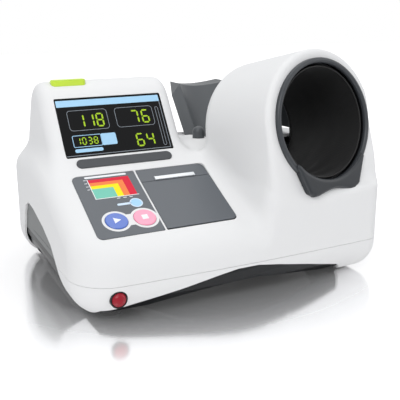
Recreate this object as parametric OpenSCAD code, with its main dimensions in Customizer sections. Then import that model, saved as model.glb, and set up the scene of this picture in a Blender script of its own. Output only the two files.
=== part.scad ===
// Arm-in blood pressure monitor: a desk console with a display head, a control slope with a
// small printer, an arm tunnel with an inflatable cuff, and an elbow rest behind the tunnel.
// X runs left to right as the user sits, Y runs from the user to the back, Z is up from the desk.

/* [Body] */
// Width of the housing
body_w = 439; // [420:1:460]
// Depth of the housing at its foot
body_d = 344; // [330:1:360]
// Distance of the housing's front face ahead of the origin
front_y = 193; // [188:1:198]
// How far the front face bows out at the middle
front_bow = 6; // [2:1:9]
// Height of the parting line between the two halves
parting_z = 49.5; // [46:0.5:54]
// Wall of the moulded housing
wall = 3; // [2.4:0.2:4]
// Radius that turns the walls under at the foot
foot_turn_r = 44; // [38:1:45]

/* [Control slope] */
// Angle of the control slope
slope_tilt = 25.5; // [23:0.5:28]
// Height where the slope meets the front face
slope_z = 90; // [86:1:96]
// Lower edge of the two panels, along the slope
panel_s0 = 26; // [24:1:32]
// Length of the two panels, along the slope
panel_len = 117; // [112:1:120]
// Left edge of the key panel
key_panel_x = -186; // [-188:1:-182]
// Width of the key panel
key_panel_w = 85; // [80:1:86]
// Left edge of the printer panel
print_panel_x = -98; // [-99:0.5:-96]
// Width of the printer panel
print_panel_w = 99; // [96:1:102]
// Thickness of the panels
panel_t = 3; // [2.6:0.2:3.6]
// How far the panels stand proud of the slope
panel_proud = 0.6; // [0.2:0.2:1.2]

/* [Display head] */
// Angle of the display face
display_tilt = 55.7; // [52:0.5:60]
// Width of the head
head_w = 191; // [185:1:197]
// Middle of the head, left of the origin
head_x = 106; // [102:1:110]
// Height of the head
head_z = 263; // [256:1:270]
// Width of the display window
window_w = 153; // [146:1:158]
// Height of the display window, along its face
window_h = 87; // [80:1:90]
// Distance of the window above the foot of the display face
window_s = 12.4; // [10:0.2:16]
// Thickness of the display window
window_t = 3; // [2:0.5:3]

/* [Arm tunnel] */
// Outer radius of the drum round the tunnel
drum_r = 97; // [95:1:100]
// Length of the drum
drum_len = 150; // [140:1:156]
// Height of the tunnel's mouth
mouth_z = 217.5; // [212:0.5:222]
// Distance of the tunnel's mouth right of the origin
mouth_x = 130; // [126:0.5:133]
// Fall of the tunnel towards the back
tunnel_fall = 13; // [11:0.5:15]
// Turn of the tunnel towards the middle
tunnel_turn = 9.5; // [8:0.1:11]
// Outer radius of the front ring
ring_r = 84; // [82:0.5:86]
// Width of the front ring's face
ring_face = 7; // [5:0.5:8]
// How far the front ring stands out of the drum
ring_proud = 6; // [5:0.5:9]
// Wall of the rigid tunnel tube
liner_t = 2.5; // [2:0.5:3]
// Thickness of the inflatable bladder at rest
bladder_t = 3; // [2:0.5:4]
// Thickness of the cloth sleeve
sleeve_t = 1.2; // [1:0.1:2]
// How far the arm lip stands in front of the ring
lip_proud = 4; // [3:0.5:6]

/* [Elbow rest] */
// Middle of the elbow rest, right of the origin
rest_x = 108.5; // [104:0.5:112]
// Width of the elbow rest
rest_w = 130; // [124:1:136]
// Height of the elbow rest's top edge
rest_z = 238; // [230:1:244]
// How far back the elbow rest reaches
rest_back_y = 203; // [198:1:210]
// Width of the bolster on each side of the scoop
bolster_w = 21; // [18:1:26]
// Radius of its scoop
scoop_r = 60; // [52:1:70]
// Radius of the elbow switch
elbow_r = 9; // [7:0.5:10]
// Travel of the elbow switch
elbow_travel = 4; // [3:0.5:5]

/* [Buttons] */
// Radius of the start and stop buttons
button_r = 14.2; // [13:0.2:15]
// Travel of the start and stop buttons
button_travel = 1.2; // [0.8:0.1:1.5]
// Width of the top key
top_key_w = 48; // [44:1:52]
// Travel of the top key
top_key_travel = 1.5; // [1:0.1:2]
// Radius of the emergency stop button
estop_r = 8.8; // [8:0.2:9.6]
// Travel of the emergency stop button
estop_travel = 4; // [3:0.5:5]

/* [Printer] */
// Radius of the paper roll
roll_r = 25; // [20:1:26]
// Width of the paper
paper_w = 57; // [50:1:60]
// Radius of the platen roller
platen_r = 5; // [4:0.5:5.5]
// Radius of the cover's hinge pin
hinge_r = 1.5; // [1.2:0.1:1.8]

/* [Hidden] */
$fn = 48;

run_fit = 0.05;
fit_gap = 0.4;
overcut = 1;
white = [0.93, 0.93, 0.92];
slate = [0.27, 0.28, 0.30];
panel_grey = [0.42, 0.44, 0.45];
dark = [0.08, 0.08, 0.09];
board_green = [0.10, 0.35, 0.20];
metal = [0.70, 0.71, 0.73];

// ---------- the housing's outer form, as one function of a point ----------

half_w = body_w / 2;
half_d = body_d / 2;
mid_y = half_d - front_y;
plan_r = [50, 22, 50, 45];  // plan corners: front left, front right, back left, back right
deck_z = 172;               // deck behind the slope, where it starts
deck_fall = 0.11;           // fall of the deck, mm per mm of depth
valley_y = 0;
shelf_x = 34.5;             // left edge of the block under the drum
shelf_z = 126;              // top of that block

function smin(a, b, k) = let(h = max(k - abs(a - b), 0) / k) min(a, b) - h * h * k / 4;
function smax(a, b, k) = -smin(-a, -b, k);
function step01(t) = let(c = min(max(t, 0), 1)) c * c * (3 - 2 * c);

// signed distance to the plan outline, with the bowed front
function plan_field(x, y) =
    let(
        yb = y < 0 ? y + front_bow * (1 - pow(x / half_w, 2)) : y,
        yc = yb - mid_y,
        r = yc < 0 ? (x < 0 ? plan_r[0] : plan_r[1]) : (x < 0 ? plan_r[2] : plan_r[3]),
        qx = abs(x) - half_w + r,
        qy = abs(yc) - half_d + r
    )
    min(max(qx, qy), 0) + norm([max(qx, 0), max(qy, 0)]) - r;

// a point in the tunnel's own frame: across, along, up
function in_tunnel(p) =
    let(
        a = p[0] - mouth_x,
        b = p[1] + mouth_y,
        c = p[2] - mouth_z,
        u = a * cos(tunnel_turn) + b * sin(tunnel_turn),
        f = b * cos(tunnel_turn) - a * sin(tunnel_turn)
    )
    [u, f * cos(tunnel_fall) - c * sin(tunnel_fall), f * sin(tunnel_fall) + c * cos(tunnel_fall)];

mouth_y = 173;
display_y = 45;             // foot of the display face, ahead of the origin
display_z = slope_z + (front_y - display_y) * tan(slope_tilt);
head_top_y = 70;            // back edge of the head's top
head_back_tilt = 64.3;      // angle of the head's back face

function slope_field(y, z) = (z - slope_z) * cos(slope_tilt) - (y + front_y) * sin(slope_tilt);
function deck_field(y, z) = z - deck_z + (y - valley_y) * deck_fall;
function head_field(x, y, z) =
    let(
        face = (z - display_z) * cos(display_tilt) - (y + display_y) * sin(display_tilt),
        back = (y - head_top_y) * sin(head_back_tilt) + (z - head_z) * cos(head_back_tilt),
        sides = abs(x + head_x) - head_w / 2
    )
    smax(smax(smax(face, z - head_z, 18), back, 24), sides, 20);
function drum_field(x, y, z) =
    let(
        q = in_tunnel([x, y, z]),
        round_d = q[2] > 0 ? norm([q[0], q[2]]) - drum_r : abs(q[0]) - drum_r,
        lean = 6 * step01(q[0] / drum_r) * step01(-q[2] / 60)
    )
    smax(smax(round_d, ring_proud - q[1] - lean, 7), q[1] - drum_len, 22);
function shelf_field(x, z) = smax(shelf_x - x, z - shelf_z, 12);

function upper_field(x, y, z) =
    let(
        body = smax(slope_field(y, z), deck_field(y, z), 26),
        with_head = smin(body, head_field(x, y, z), 20),
        with_drum = smin(with_head, drum_field(x, y, z), 28 - 12 * step01((y + 60) / 60)),
        with_shelf = smin(with_drum, shelf_field(x, z), 20),
        edge = 30 - 18 * step01((x - 10) / 40) - 7 * step01((x - 150) / 40)
    )
    smax(with_shelf, plan_field(x, y), edge);
function lower_field(x, y, z) =
    let(
        qa = plan_field(x, y) + foot_turn_r,
        qz = foot_turn_r - z
    )
    min(max(qa, qz), 0) + norm([max(qa, 0), max(qz, 0)]) - foot_turn_r;
function form_field(upper, x, y, z) = upper ? upper_field(x, y, z) : lower_field(x, y, z);

// distance from a point inside to the surface, along one direction across a station
function reach(upper, inset, x, y, z, c, s, near, far, turns) =
    turns == 0 ? (near + far) / 2 :
    let(mid = (near + far) / 2)
    form_field(upper, x, y + mid * c, z + mid * s) + inset > 0
        ? reach(upper, inset, x, y, z, c, s, near, mid, turns - 1)
        : reach(upper, inset, x, y, z, c, s, mid, far, turns - 1);

// middle of a station's section: it moves forward from the head to the drum
function core_y(x) = -20 - 60 * step01((x + 20) / 70);
core_z = 110;
function station_ring(upper, inset, x, z0, rays) =
    let(
        y = core_y(x),
        z = upper ? core_z : z0,
        front = y - reach(upper, inset, x, y, z0, -1, 0, 0, 300, 15),
        back = y + reach(upper, inset, x, y, z0, 1, 0, 0, 300, 15),
        a0 = upper ? atan2(z0 - z, front - y) + 360 : 180,
        a1 = upper ? atan2(z0 - z, back - y) : 360,
        crowd = upper ? 0 : 0.11
    )
    concat(
        [[x, front, z0]],
        [for (i = [1 : rays - 1])
            let(
                a = a0 + (a1 - a0) * (i / rays - crowd * sin(360 * i / rays)),
                d = reach(upper, inset, x, y, z, cos(a), sin(a), 0, 300, 15)
            )
            [x, y + d * cos(a), z + d * sin(a)]],
        [[x, back, z0]]
    );

// stations crowd towards both side walls, and round the drum's left side
function station_x(t, inset) =
    let(
        edge = half_w - inset - 0.15,
        s = sin(90 * (2 * t - 1))
    )
    edge * (0.62 * s + 0.38 * (2 * t - 1));

// a closed solid of the form, moved in by an inset and cut flat at a height
module form_solid(upper, inset, z0, stations, rays) {
    rings = [for (i = [0 : stations]) station_ring(upper, inset, station_x(i / stations, inset), z0, rays)];
    n = rays + 1;
    points = [for (r = rings) for (p = r) p];
    skin = [for (i = [0 : stations - 1]) for (j = [0 : rays - 1])
        let(a = i * n + j, b = a + n)
        each [[a, a + 1, b + 1], [a, b + 1, b]]];
    floor_strip = [for (i = [0 : stations - 1])
        let(a = i * n, b = a + n)
        each [[a + rays, a, b], [a + rays, b, b + rays]]];
    cap0 = [[for (j = [0 : rays]) rays - j]];
    cap1 = [[for (j = [0 : rays]) stations * n + j]];
    faces = concat(skin, floor_strip, cap0, cap1);
    polyhedron(points, upper ? faces : [for (f = faces) [for (k = [len(f) - 1 : -1 : 0]) f[k]]]);
}

// ---------- frames that pieces are placed in ----------

// on the control slope: x across, y up the slope, z out of it
module on_slope() {
    translate([0, -front_y, slope_z])
        rotate([slope_tilt, 0, 0])
            children();
}
// on the display face
module on_display() {
    translate([0, -display_y, display_z])
        rotate([display_tilt, 0, 0])
            children();
}
// in the tunnel: x across, y along it to the back, z up
module in_tunnel_frame() {
    translate([mouth_x, -mouth_y, mouth_z])
        rotate([-tunnel_fall, 0, tunnel_turn])
            children();
}
// a tube along the tunnel
module tunnel_tube(outer, inner, y0, y1) {
    translate([0, y0, 0])
        rotate([-90, 0, 0])
            difference() {
                cylinder(r = outer, h = y1 - y0);
                translate([0, 0, -overcut])
                    cylinder(r = inner, h = y1 - y0 + 2 * overcut);
            }
}
// a plate with round corners, standing on z = 0
module round_plate(size, r, t) {
    translate([r, 0, 0])
        cube([size[0] - 2 * r, size[1], t]);
    translate([0, r, 0])
        cube([size[0], size[1] - 2 * r, t]);
    for (x = [r, size[0] - r], y = [r, size[1] - r])
        translate([x, y, 0])
            cylinder(r = r, h = t);
}
// the same, with its own corner radius on the left and on the right
module corner_plate(size, left, right, t) {
    translate([left, 0, 0])
        cube([size[0] - left - right, size[1], t]);
    translate([0, left, 0])
        cube([left + 0.5, size[1] - 2 * left, t]);
    translate([size[0] - right - 0.5, right, 0])
        cube([right + 0.5, size[1] - 2 * right, t]);
    for (y = [left, size[1] - left])
        translate([left, y, 0])
            cylinder(r = left, h = t);
    for (y = [right, size[1] - right])
        translate([size[0] - right, y, 0])
            cylinder(r = right, h = t);
}
module corner_cut(size, left, right, t) {
    hull() {
        for (y = [left, size[1] - left])
            translate([left, y, 0])
                cylinder(r = left, h = t, $fn = 24);
        for (y = [right, size[1] - right])
            translate([size[0] - right, y, 0])
                cylinder(r = right, h = t, $fn = 24);
    }
}
module rounded_cut(size, r, t) {
    hull()
        for (x = [r, size[0] - r], y = [r, size[1] - r])
            translate([x, y, 0])
                cylinder(r = r, h = t, $fn = 24);
}

// ---------- values that several pieces share ----------

tunnel_r = ring_r - ring_face;          // the opening that the arm goes through
hole_r = ring_r - 2;                    // the hole in the drum
liner_r = hole_r - fit_gap;
bladder_r = liner_r - liner_t - fit_gap;
sleeve_r = bladder_r - bladder_t - fit_gap;
liner_y0 = ring_proud + 0.2;
liner_y1 = drum_len - 0.2;
plate_z = 36;                           // top of the base plate
plate_t = 3;
skirt_inset = wall + 0.8;
panel_outer_r = 8;                      // corners of the panels, away from and beside the divider
panel_inner_r = 1.2;
panel_low = panel_proud - panel_t;      // underside of the panels, in the slope frame
window_x = -head_x - window_w / 2;
print_s0 = panel_s0 + 1.5;              // lower edge of the printer's cover
hinge_s = print_s0 + 3;
hinge_n = panel_proud - 3;
cover_s1 = panel_s0 + panel_len - 25.5;   // free edge of the printer's cover
start_pos = [key_panel_x + 31, panel_s0 + 26.8];
stop_pos = [key_panel_x + 67.5, panel_s0 + 26];
button_low = -9;
key_board_n = button_low - button_travel - 6.2;
estop_x = -half_w + 46.8;
estop_y = -200;
estop_z = 33.3;
top_key_x = -155.5;
top_key_y = 33;
top_key_d = 14;
top_key_z = head_z + 3;
trough_r = rest_w / 2 - 13;
trough_wall = 3;
elbow_x = rest_x - trough_r - trough_wall - elbow_r - 4;
elbow_y = 24;
elbow_z = deck_z + 15;
bulkhead_y0 = drum_len + 8.6;
bay_s1 = cover_s1 - 16;
roll_s = (hinge_s + bay_s1) / 2 + 2;
roll_n = panel_low - roll_r - 2.6;
platen_s = cover_s1 - platen_r;
platen_n = panel_low - platen_r - 0.6;
screw_points = [
    [-half_w + 16.5, -125], [half_w - 16.5, -125], [-half_w + 16.5, 105], [half_w - 16.5, 105],
    [-70, -front_y + 11], [70, -front_y + 11], [-70, 140], [70, 140]
];
screw_r = 1.6;
foot_points = [
    [-half_w + 51.5, -138], [half_w - 51.5, -138], [-half_w + 51.5, 88], [half_w - 51.5, 92]
];
foot_r = 13;
rear_x = -150;
rear_w = 118;
rear_z = 60;
rear_h = 42;
back_y = mid_y + half_d;
function deck_at(y) = deck_z - (y - valley_y) * deck_fall;

// side arch in the white housing, as (y, z) seen from the side
side_arch = [
    [-150, -1], [-130, 20], [-99, 47], [-73, 69], [-37, 83], [14, 95], [41, 97], [58, 88],
    [68, 72], [75, 52], [85, 20], [95, -1]
];
// underside of the dark base, seen from the side
base_side_arch = [[-145, -1], [-70, 21], [-13, 29], [32, 31.5], [40, 25], [46, -1]];
// front edge of the white housing over the base, as (x, z)
white_front_arch = across([
    [-0.934, -1], [-0.870, 16], [-0.683, 23], [-0.424, 32], [-0.205, 41], [-0.068, 45.5],
    [0.068, 45.5], [0.205, 41], [0.424, 32], [0.683, 19], [0.774, -1]
]);
base_front_arch = across([
    [-0.765, -1], [-0.547, 10], [-0.273, 20], [-0.091, 25], [0.091, 25], [0.273, 20], [0.547, 10],
    [0.729, -1]
]);

// an outline (share of the half width, z) as (x, z)
function across(points) = [for (p = points) [p[0] * half_w, p[1]]];

// an outline (y, z) run along X from x0 to x1
module side_prism(points, x0, x1) {
    translate([x0, 0, 0])
        rotate([90, 0, 90])
            linear_extrude(x1 - x0)
                polygon(points);
}
// an outline (x, z) run along Y from y0 to y1
module front_prism(points, y0, y1) {
    translate([0, y1, 0])
        rotate([90, 0, 0])
            linear_extrude(y1 - y0)
                polygon(points);
}
// the base's plan outline, moved in by an inset
module plan_outline(inset) {
    steps = 6;
    corners = [[1, 1, 3, 0], [-1, 1, 2, 90], [-1, -1, 0, 180], [1, -1, 1, 270]];
    polygon([for (c = corners) for (i = [0 : steps])
        let(
            r = max(plan_r[c[2]] - inset, 1),
            a = c[3] + 90 * i / steps
        )
        [c[0] * (half_w - inset - r) + r * cos(a), mid_y + c[1] * (half_d - inset - r) + r * sin(a)]]);
}
module board(size, t = 1.6) {
    color(board_green)
        cube([size[0], size[1], t]);
}
// a run of hose through a list of points
module hose(points, r) {
    sides = 8;
    last = len(points) - 1;
    ring = [for (i = [0 : last])
        let(
            t = points[min(i + 1, last)] - points[max(i - 1, 0)],
            d = t / norm(t),
            side = abs(d[2]) > 0.9 ? cross(d, [1, 0, 0]) : cross(d, [0, 0, 1]),
            a = side / norm(side),
            b = cross(d, a)
        )
        for (k = [0 : sides - 1])
            points[i] + r * (cos(360 * k / sides) * a + sin(360 * k / sides) * b)];
    walls = [for (i = [0 : last - 1]) for (k = [0 : sides - 1])
        let(a = i * sides + k, b = i * sides + (k + 1) % sides)
        [a, a + sides, b + sides, b]];
    polyhedron(ring, concat(walls, [[for (k = [0 : sides - 1]) k]],
        [[for (k = [0 : sides - 1]) last * sides + sides - 1 - k]]));
}
// a smooth run through four points
function bend(p, n) = [for (i = [0 : n])
    let(t = i / n, u = 1 - t)
    u * u * u * p[0] + 3 * u * u * t * p[1] + 3 * u * t * t * p[2] + t * t * t * p[3]];

// ---------- housing ----------

module lip_shape(grow) {
    difference() {
        union() {
            for (m = [-1, 1])
                hull() {
                    translate([m * 36, -76.5])
                        circle(r = 17 + grow, $fn = 32);
                    translate([m * 57.5, -53])
                        circle(r = 5 + grow, $fn = 16);
                    translate([m * 40, -66])
                        circle(r = 4 + grow, $fn = 16);
                }
            translate([-38, -93.5])
                square([76, 24]);
        }
        translate([0, -149.5 - grow])
            circle(r = 60, $fn = 64);
        circle(r = tunnel_r - 2 - grow, $fn = 96);
    }
}
module lip_solid(grow) {
    rotate([90, 0, 0])
        translate([0, 0, -ring_proud + 0.1 - grow * 4])
            linear_extrude(ring_proud + lip_proud + grow * 4)
                lip_shape(grow);
}

// lozenge outline of the top key, as a solid between two heights
module key_lozenge(grow, z0, z1) {
    r = top_key_d / 2 - 2;
    hull()
        for (m = [-1, 1], n = [-1, 1])
            translate([top_key_x + m * (top_key_w / 2 - r), top_key_y + n * 2, z0])
                cylinder(r = r + grow, h = z1 - z0, $fn = 32);
}

module upper_housing() {
    color(white)
        difference() {
            union() {
                difference() {
                    form_solid(true, 0, parting_z, 42, 42);
                    form_solid(true, wall, parting_z - overcut, 26, 26);
                }
                // seat under the two panels
                on_slope()
                    translate([key_panel_x - 4, panel_s0 - 4, -7])
                        rounded_cut([print_panel_x + print_panel_w - key_panel_x + 8, panel_len + 8], 6, 4.2);
                // screw posts with ribs to the walls
                for (p = screw_points) {
                    translate([p[0], p[1], lug_z + 3.1])
                        cylinder(r = 6, h = parting_z + 22 - lug_z - 3.1);
                    side = abs(p[0]) > 150;
                    translate([p[0] + (side ? sign(p[0]) * 3 : -2), p[1] + (side ? -2 : sign(p[1]) * 3), parting_z])
                        mirror([side && p[0] < 0 ? 1 : 0, !side && p[1] < 0 ? 1 : 0, 0])
                            cube(side ? [half_w - abs(p[0]) - 4.5, 4, 18] : [4, p[1] < 0 ? 11 : 6, 18]);
                }
            }
            in_tunnel_frame() {
                translate([0, -30, 0])
                    rotate([-90, 0, 0])
                        cylinder(r = hole_r, h = drum_len + 31, $fn = 72);
                // where the drum's face leans forward past the front ring
                translate([0, -30, 0])
                    rotate([-90, 0, 0])
                        cylinder(r = ring_r + 0.3, h = 30 + ring_proud, $fn = 96);
                translate([0, drum_len, 0])
                    rotate([-90, 0, 0])
                        cylinder(r = ring_r + 0.4, h = bulkhead_y0 - drum_len - 0.3, $fn = 72);
                lip_solid(0.3);
            }
            // the well in the deck that the elbow rest's trough fills
            difference() {
                translate([rest_x - trough_r - trough_wall - 0.3, -60, 90])
                    cube([2 * (trough_r + trough_wall + 0.3), 60 + rest_y0 + 34, 120]);
                in_tunnel_frame()
                    translate([-200, -300, -300])
                        cube([400, 300 + drum_len + 1, 600]);
            }
            on_display()
                translate([window_x - 0.3, window_s - 0.3, -20])
                    rounded_cut([window_w + 0.6, window_h + 0.6], 2.3, 40);
            on_slope() {
                translate([key_panel_x - 0.3, panel_s0 - 0.3, panel_low - 0.1])
                    corner_cut([key_panel_w + 0.6, panel_len + 0.6], panel_outer_r, panel_inner_r, 20);
                translate([key_panel_x + 5, panel_s0 + 5, -30])
                    rounded_cut([key_panel_w - 10, panel_len - 10], 6, 60);
                translate([print_panel_x - 0.3, panel_s0 - 0.3, panel_low - 0.1])
                    corner_cut([print_panel_w + 0.6, panel_len + 0.6], panel_inner_r, panel_outer_r, 20);
                translate([print_panel_x - 0.3, panel_s0 - 0.3, -30])
                    rounded_cut([print_panel_w + 0.6, panel_len - 5.1], panel_inner_r, 60);
            }
            // pockets behind the wall for the display's bezel and the rear panel's flange
            on_display()
                translate([window_x - 5.4, window_s - 5.4, -wall - 12])
                    cube([window_w + 10.8, window_h + 10.8, 11.95]);
            translate([rear_x - 4.4, back_y - 12, rear_z - 4.4])
                cube([rear_w + 8.8, 12 - wall + 0.2, rear_h + 8.8]);
            name_strip_solid(0.2);
            // room for the rims under the two keys
            on_slope()
                for (p = [start_pos, stop_pos])
                    translate([p[0], p[1], -20])
                        cylinder(r = button_r + 2.3, h = 20);
            key_lozenge(fit_gap, head_z - 20, head_z + 20);
            translate([elbow_x, elbow_y, deck_z - 40])
                cylinder(r = elbow_r + fit_gap, h = 60);
            translate([rear_x - 0.3, back_y - 10, rear_z - 0.3])
                rotate([90, 0, 0])
                    translate([0, 0, -30])
                        rounded_cut([rear_w + 0.6, rear_h + 0.6], 4, 40);
            side_prism(side_arch, -half_w - 5, -half_w + 12);
            side_prism(side_arch, half_w - 12, half_w + 5);
            for (p = screw_points)
                translate([p[0], p[1], lug_z])
                    cylinder(r = screw_r + 0.1, h = 30, $fn = 24);
        }
}

// lugs from the lower housing's wall in to the screws
lug_z = plate_z + 0.1;
module lugs() {
    r = 5;
    into_wall = 2;
    for (p = screw_points) {
        side = abs(p[0]) > 150;
        bow = front_bow * (1 - pow(p[0] / half_w, 2));
        end_y = p[1] > 0 ? back_y - into_wall : -front_y - bow + into_wall;
        hull() {
            translate([p[0], p[1], lug_z])
                cylinder(r = r, h = 3, $fn = 24);
            if (side)
                translate([sign(p[0]) * (half_w - into_wall - 0.5) - 0.5, p[1] - r, lug_z])
                    cube([1, 2 * r, 3]);
            else
                translate([p[0] - r, p[1] > 0 ? end_y - 1 : end_y, lug_z])
                    cube([2 * r, 1, 3]);
        }
    }
}
module lower_housing() {
    color(white)
        difference() {
            union() {
                difference() {
                    form_solid(false, 0, parting_z - 0.3, 40, 20);
                    form_solid(false, wall, parting_z + overcut, 30, 16);
                }
                lugs();
            }
            translate([0, 0, -overcut])
                linear_extrude(30)
                    plan_outline(30);
            front_prism(white_front_arch, -front_y - 20, back_y + 20);
            // the side arches leave a rail under the side covers
            difference() {
                union() {
                    side_prism(side_arch, -half_w - 5, -half_w + 60);
                    side_prism(side_arch, half_w - 60, half_w + 5);
                }
                difference() {
                    translate([-half_w + 1.4, -110, parting_z - 5])
                        cube([2 * half_w - 2.8, 200, 10]);
                    translate([-half_w + wall + 0.2, -120, parting_z - 20])
                        cube([2 * half_w - 2 * wall - 0.4, 220, 40]);
                }
            }
            for (p = screw_points)
                translate([p[0], p[1], lug_z - 1])
                    cylinder(r = screw_r + 0.2, h = 5, $fn = 24);
            translate([estop_x, -front_y + 30, estop_z])
                rotate([90, 0, 0])
                    cylinder(r = estop_r + 1.9 + 0.2, h = 60);
        }
}

module base_chassis() {
    color(slate)
        difference() {
            union() {
                difference() {
                    form_solid(false, skirt_inset, parting_z + overcut, 30, 16);
                    form_solid(false, skirt_inset + 2.5, parting_z + 2 * overcut, 24, 12);
                    translate([-half_w, -front_y - 20, parting_z - 1])
                        cube([body_w, body_d + 40, 10]);
                }
                intersection() {
                    translate([0, 0, plate_z - plate_t])
                        linear_extrude(plate_t)
                            plan_outline(skirt_inset + 1);
                    form_solid(false, skirt_inset + 0.5, parting_z, 30, 14);
                }
                for (p = foot_points)
                    translate([p[0], p[1], 4])
                        cylinder(r = foot_r + 4, h = plate_z - 5);
                // standoffs under the two boards
                for (x = [-144, 4], y = [-54, 34])
                    translate([x, y, plate_z - 1])
                        cylinder(r = 3.5, h = 7);
                for (x = [-159, -61], y = [66, 114])
                    translate([x, y, plate_z - 1])
                        cylinder(r = 3.5, h = 7);
            }
            front_prism(base_front_arch, -front_y - 20, back_y + 20);
            side_prism(base_side_arch, -half_w - 5, -half_w + 22);
            side_prism(base_side_arch, half_w - 22, half_w + 5);
            for (p = foot_points)
                translate([p[0], p[1], -overcut])
                    cylinder(r = foot_r + 0.3, h = 9);
            for (p = screw_points) {
                translate([p[0], p[1], 20])
                    cylinder(r = screw_r + 0.3, h = 40, $fn = 24);
                translate([p[0], p[1], 20])
                    cylinder(r = 3.5, h = plate_z - plate_t - 20, $fn = 24);
            }
            // notches in the skirt for the lower housing's lugs and the upper housing's posts
            for (p = screw_points)
                if (abs(p[0]) > 150)
                    translate([p[0] > 0 ? p[0] - 6.6 : p[0] - 24, p[1] - 6.6, lug_z - 0.4])
                        cube([30.6, 13.2, 20]);
                else
                    translate([p[0] - 6.6, p[1] > 0 ? p[1] - 6.6 : p[1] - 24, lug_z - 0.4])
                        cube([13.2, 30.6, 20]);
            // room for the emergency switch
            translate([estop_x - 12, -front_y - 10, estop_z - 12])
                cube([24, 62, 30]);
            // sound slots under the speaker
            for (i = [-2 : 2])
                translate([-120 - 18, -140 + i * 7 - 1.5, plate_z - 10])
                    cube([36, 3, 20]);
        }
}

module side_cover(m) {
    x0 = -half_w + wall + 0.2;
    mirror([m < 0 ? 0 : 1, 0, 0])
        color([0.47, 0.48, 0.48])
            difference() {
                side_prism([
                    [-104, parting_z + 0.3], [-92, 60], [-74, 74.5], [-38, 88], [13, 100], [42, 102], [62, 92],
                    [73, 74], [80, parting_z + 0.3]
                ], x0, x0 + 2.5);
                translate([x0 - overcut, -60, parting_z + 8])
                    cube([1.6, 90, 0.8]);
            }
}
module side_cover_left() {
    side_cover(-1);
}
module side_cover_right() {
    side_cover(1);
}

module rubber_feet() {
    color(dark)
        for (p = foot_points)
            translate([p[0], p[1], 0]) {
                rotate_extrude()
                    polygon([[0, 0], [foot_r - 1, 0], [foot_r, 1], [foot_r, 7.8], [0, 7.8]]);
            }
}

module housing_screws() {
    color(metal)
        for (p = screw_points)
            translate([p[0], p[1], plate_z - plate_t - 2.9])
                union() {
                    cylinder(r = 3, h = 2.8);
                    cylinder(r = screw_r, h = 32, $fn = 24);
                }
}

// ---------- display ----------

module display_window() {
    color([0.03, 0.04, 0.05])
        on_display()
            translate([window_x, window_s, -window_t])
                round_plate([window_w, window_h], 2, window_t);
}

module display_bezel() {
    color(dark)
        on_display()
            difference() {
                translate([window_x - 5, window_s - 5, -wall - 8])
                    cube([window_w + 10, window_h + 10, 7.9]);
                translate([window_x + 3, window_s + 3, -wall - 12])
                    cube([window_w - 6, window_h - 6, 20]);
            }
}

display_board_n = -wall - 18;
module display_board() {
    on_display() {
        translate([window_x, window_s, display_board_n])
            board([window_w, window_h]);
        color(dark)
            for (x = [window_x + 6, window_x + window_w - 6], y = [window_s + 6, window_s + window_h - 6])
                translate([x, y, display_board_n + 1.6])
                    cylinder(r = 1, h = 3);
    }
}

// blocks of digits: corner on the window, digit count, digit width and height
digit_blocks = [
    [[12, 44], 3, 15, 24],
    [[84, 46], 2, 15, 22],
    [[12, 12], 4, 10, 15],
    [[92, 10], 2, 15, 24]
];
module digit_modules() {
    color([0.12, 0.13, 0.13])
        on_display() {
            for (b = digit_blocks, i = [0 : b[1] - 1])
                translate([window_x + b[0][0] + i * (b[2] + 1), window_s + b[0][1], display_board_n + 1.7])
                    cube([b[2], b[3], 7]);
            translate([window_x + window_w - 22, window_s + 12, display_board_n + 1.7])
                cube([8, 62, 7]);
        }
}

// the strip across the fold between the slope and the display face
module name_strip_solid(grow) {
    r = 7;
    run = 121;
    translate([window_x + 10 + r, -display_y, display_z])
        rotate([(slope_tilt + display_tilt) / 2, 0, 0])
            translate([0, 0, 4.6]) {
                translate([0, -r - grow, 0])
                    cube([run, 2 * (r + grow), 1.6 + 20 * grow]);
                for (x = [0, run])
                    translate([x, 0, 0])
                        cylinder(r = r + grow, h = 1.6 + 20 * grow);
            }
}
module name_strip() {
    color(slate)
        union()
            name_strip_solid(0);
}

// ---------- keys ----------

module control_panel() {
    color(panel_grey)
        on_slope()
            difference() {
                union() {
                    translate([key_panel_x, panel_s0, panel_low])
                        corner_plate([key_panel_w, panel_len], panel_outer_r, panel_inner_r, panel_t);
                    for (p = [start_pos, stop_pos])
                        translate([p[0], p[1], panel_low - 5])
                            cylinder(r = button_r + 2, h = 6);
                }
                for (p = [start_pos, stop_pos])
                    translate([p[0], p[1], -20])
                        cylinder(r = button_r + fit_gap, h = 40);
            }
}

module push_button(p) {
    on_slope()
        translate([p[0], p[1], 0])
            rotate_extrude()
                polygon([
                    [0, button_low], [button_r - 3, button_low], [button_r, button_low + 1],
                    [button_r, panel_proud + 0.8], [button_r - 1, panel_proud + 1.5], [0, panel_proud + 1.8]
                ]);
}
module start_button() {
    color([0.27, 0.42, 0.76])
        push_button(start_pos);
}
module stop_button() {
    color([0.97, 0.60, 0.70])
        push_button(stop_pos);
}

module keypad_board() {
    on_slope() {
        translate([key_panel_x + 8, start_pos[1] - 20, key_board_n])
            board([key_panel_w - 16, 40]);
        color(dark)
            for (x = [key_panel_x + 12, key_panel_x + key_panel_w - 12], m = [-1, 1])
                translate([x, start_pos[1] + m * 18, key_board_n + 1.6])
                    cylinder(r = 1, h = -7 - key_board_n - 1.6);
    }
}

module key_switches() {
    color(metal)
        on_slope()
            for (p = [start_pos, stop_pos])
                translate([p[0], p[1], key_board_n + 1.6]) {
                    translate([-3, -3, 0])
                        cube([6, 6, 2.6]);
                    cylinder(r = 1.7, h = 4.2);
                }
}

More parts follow.
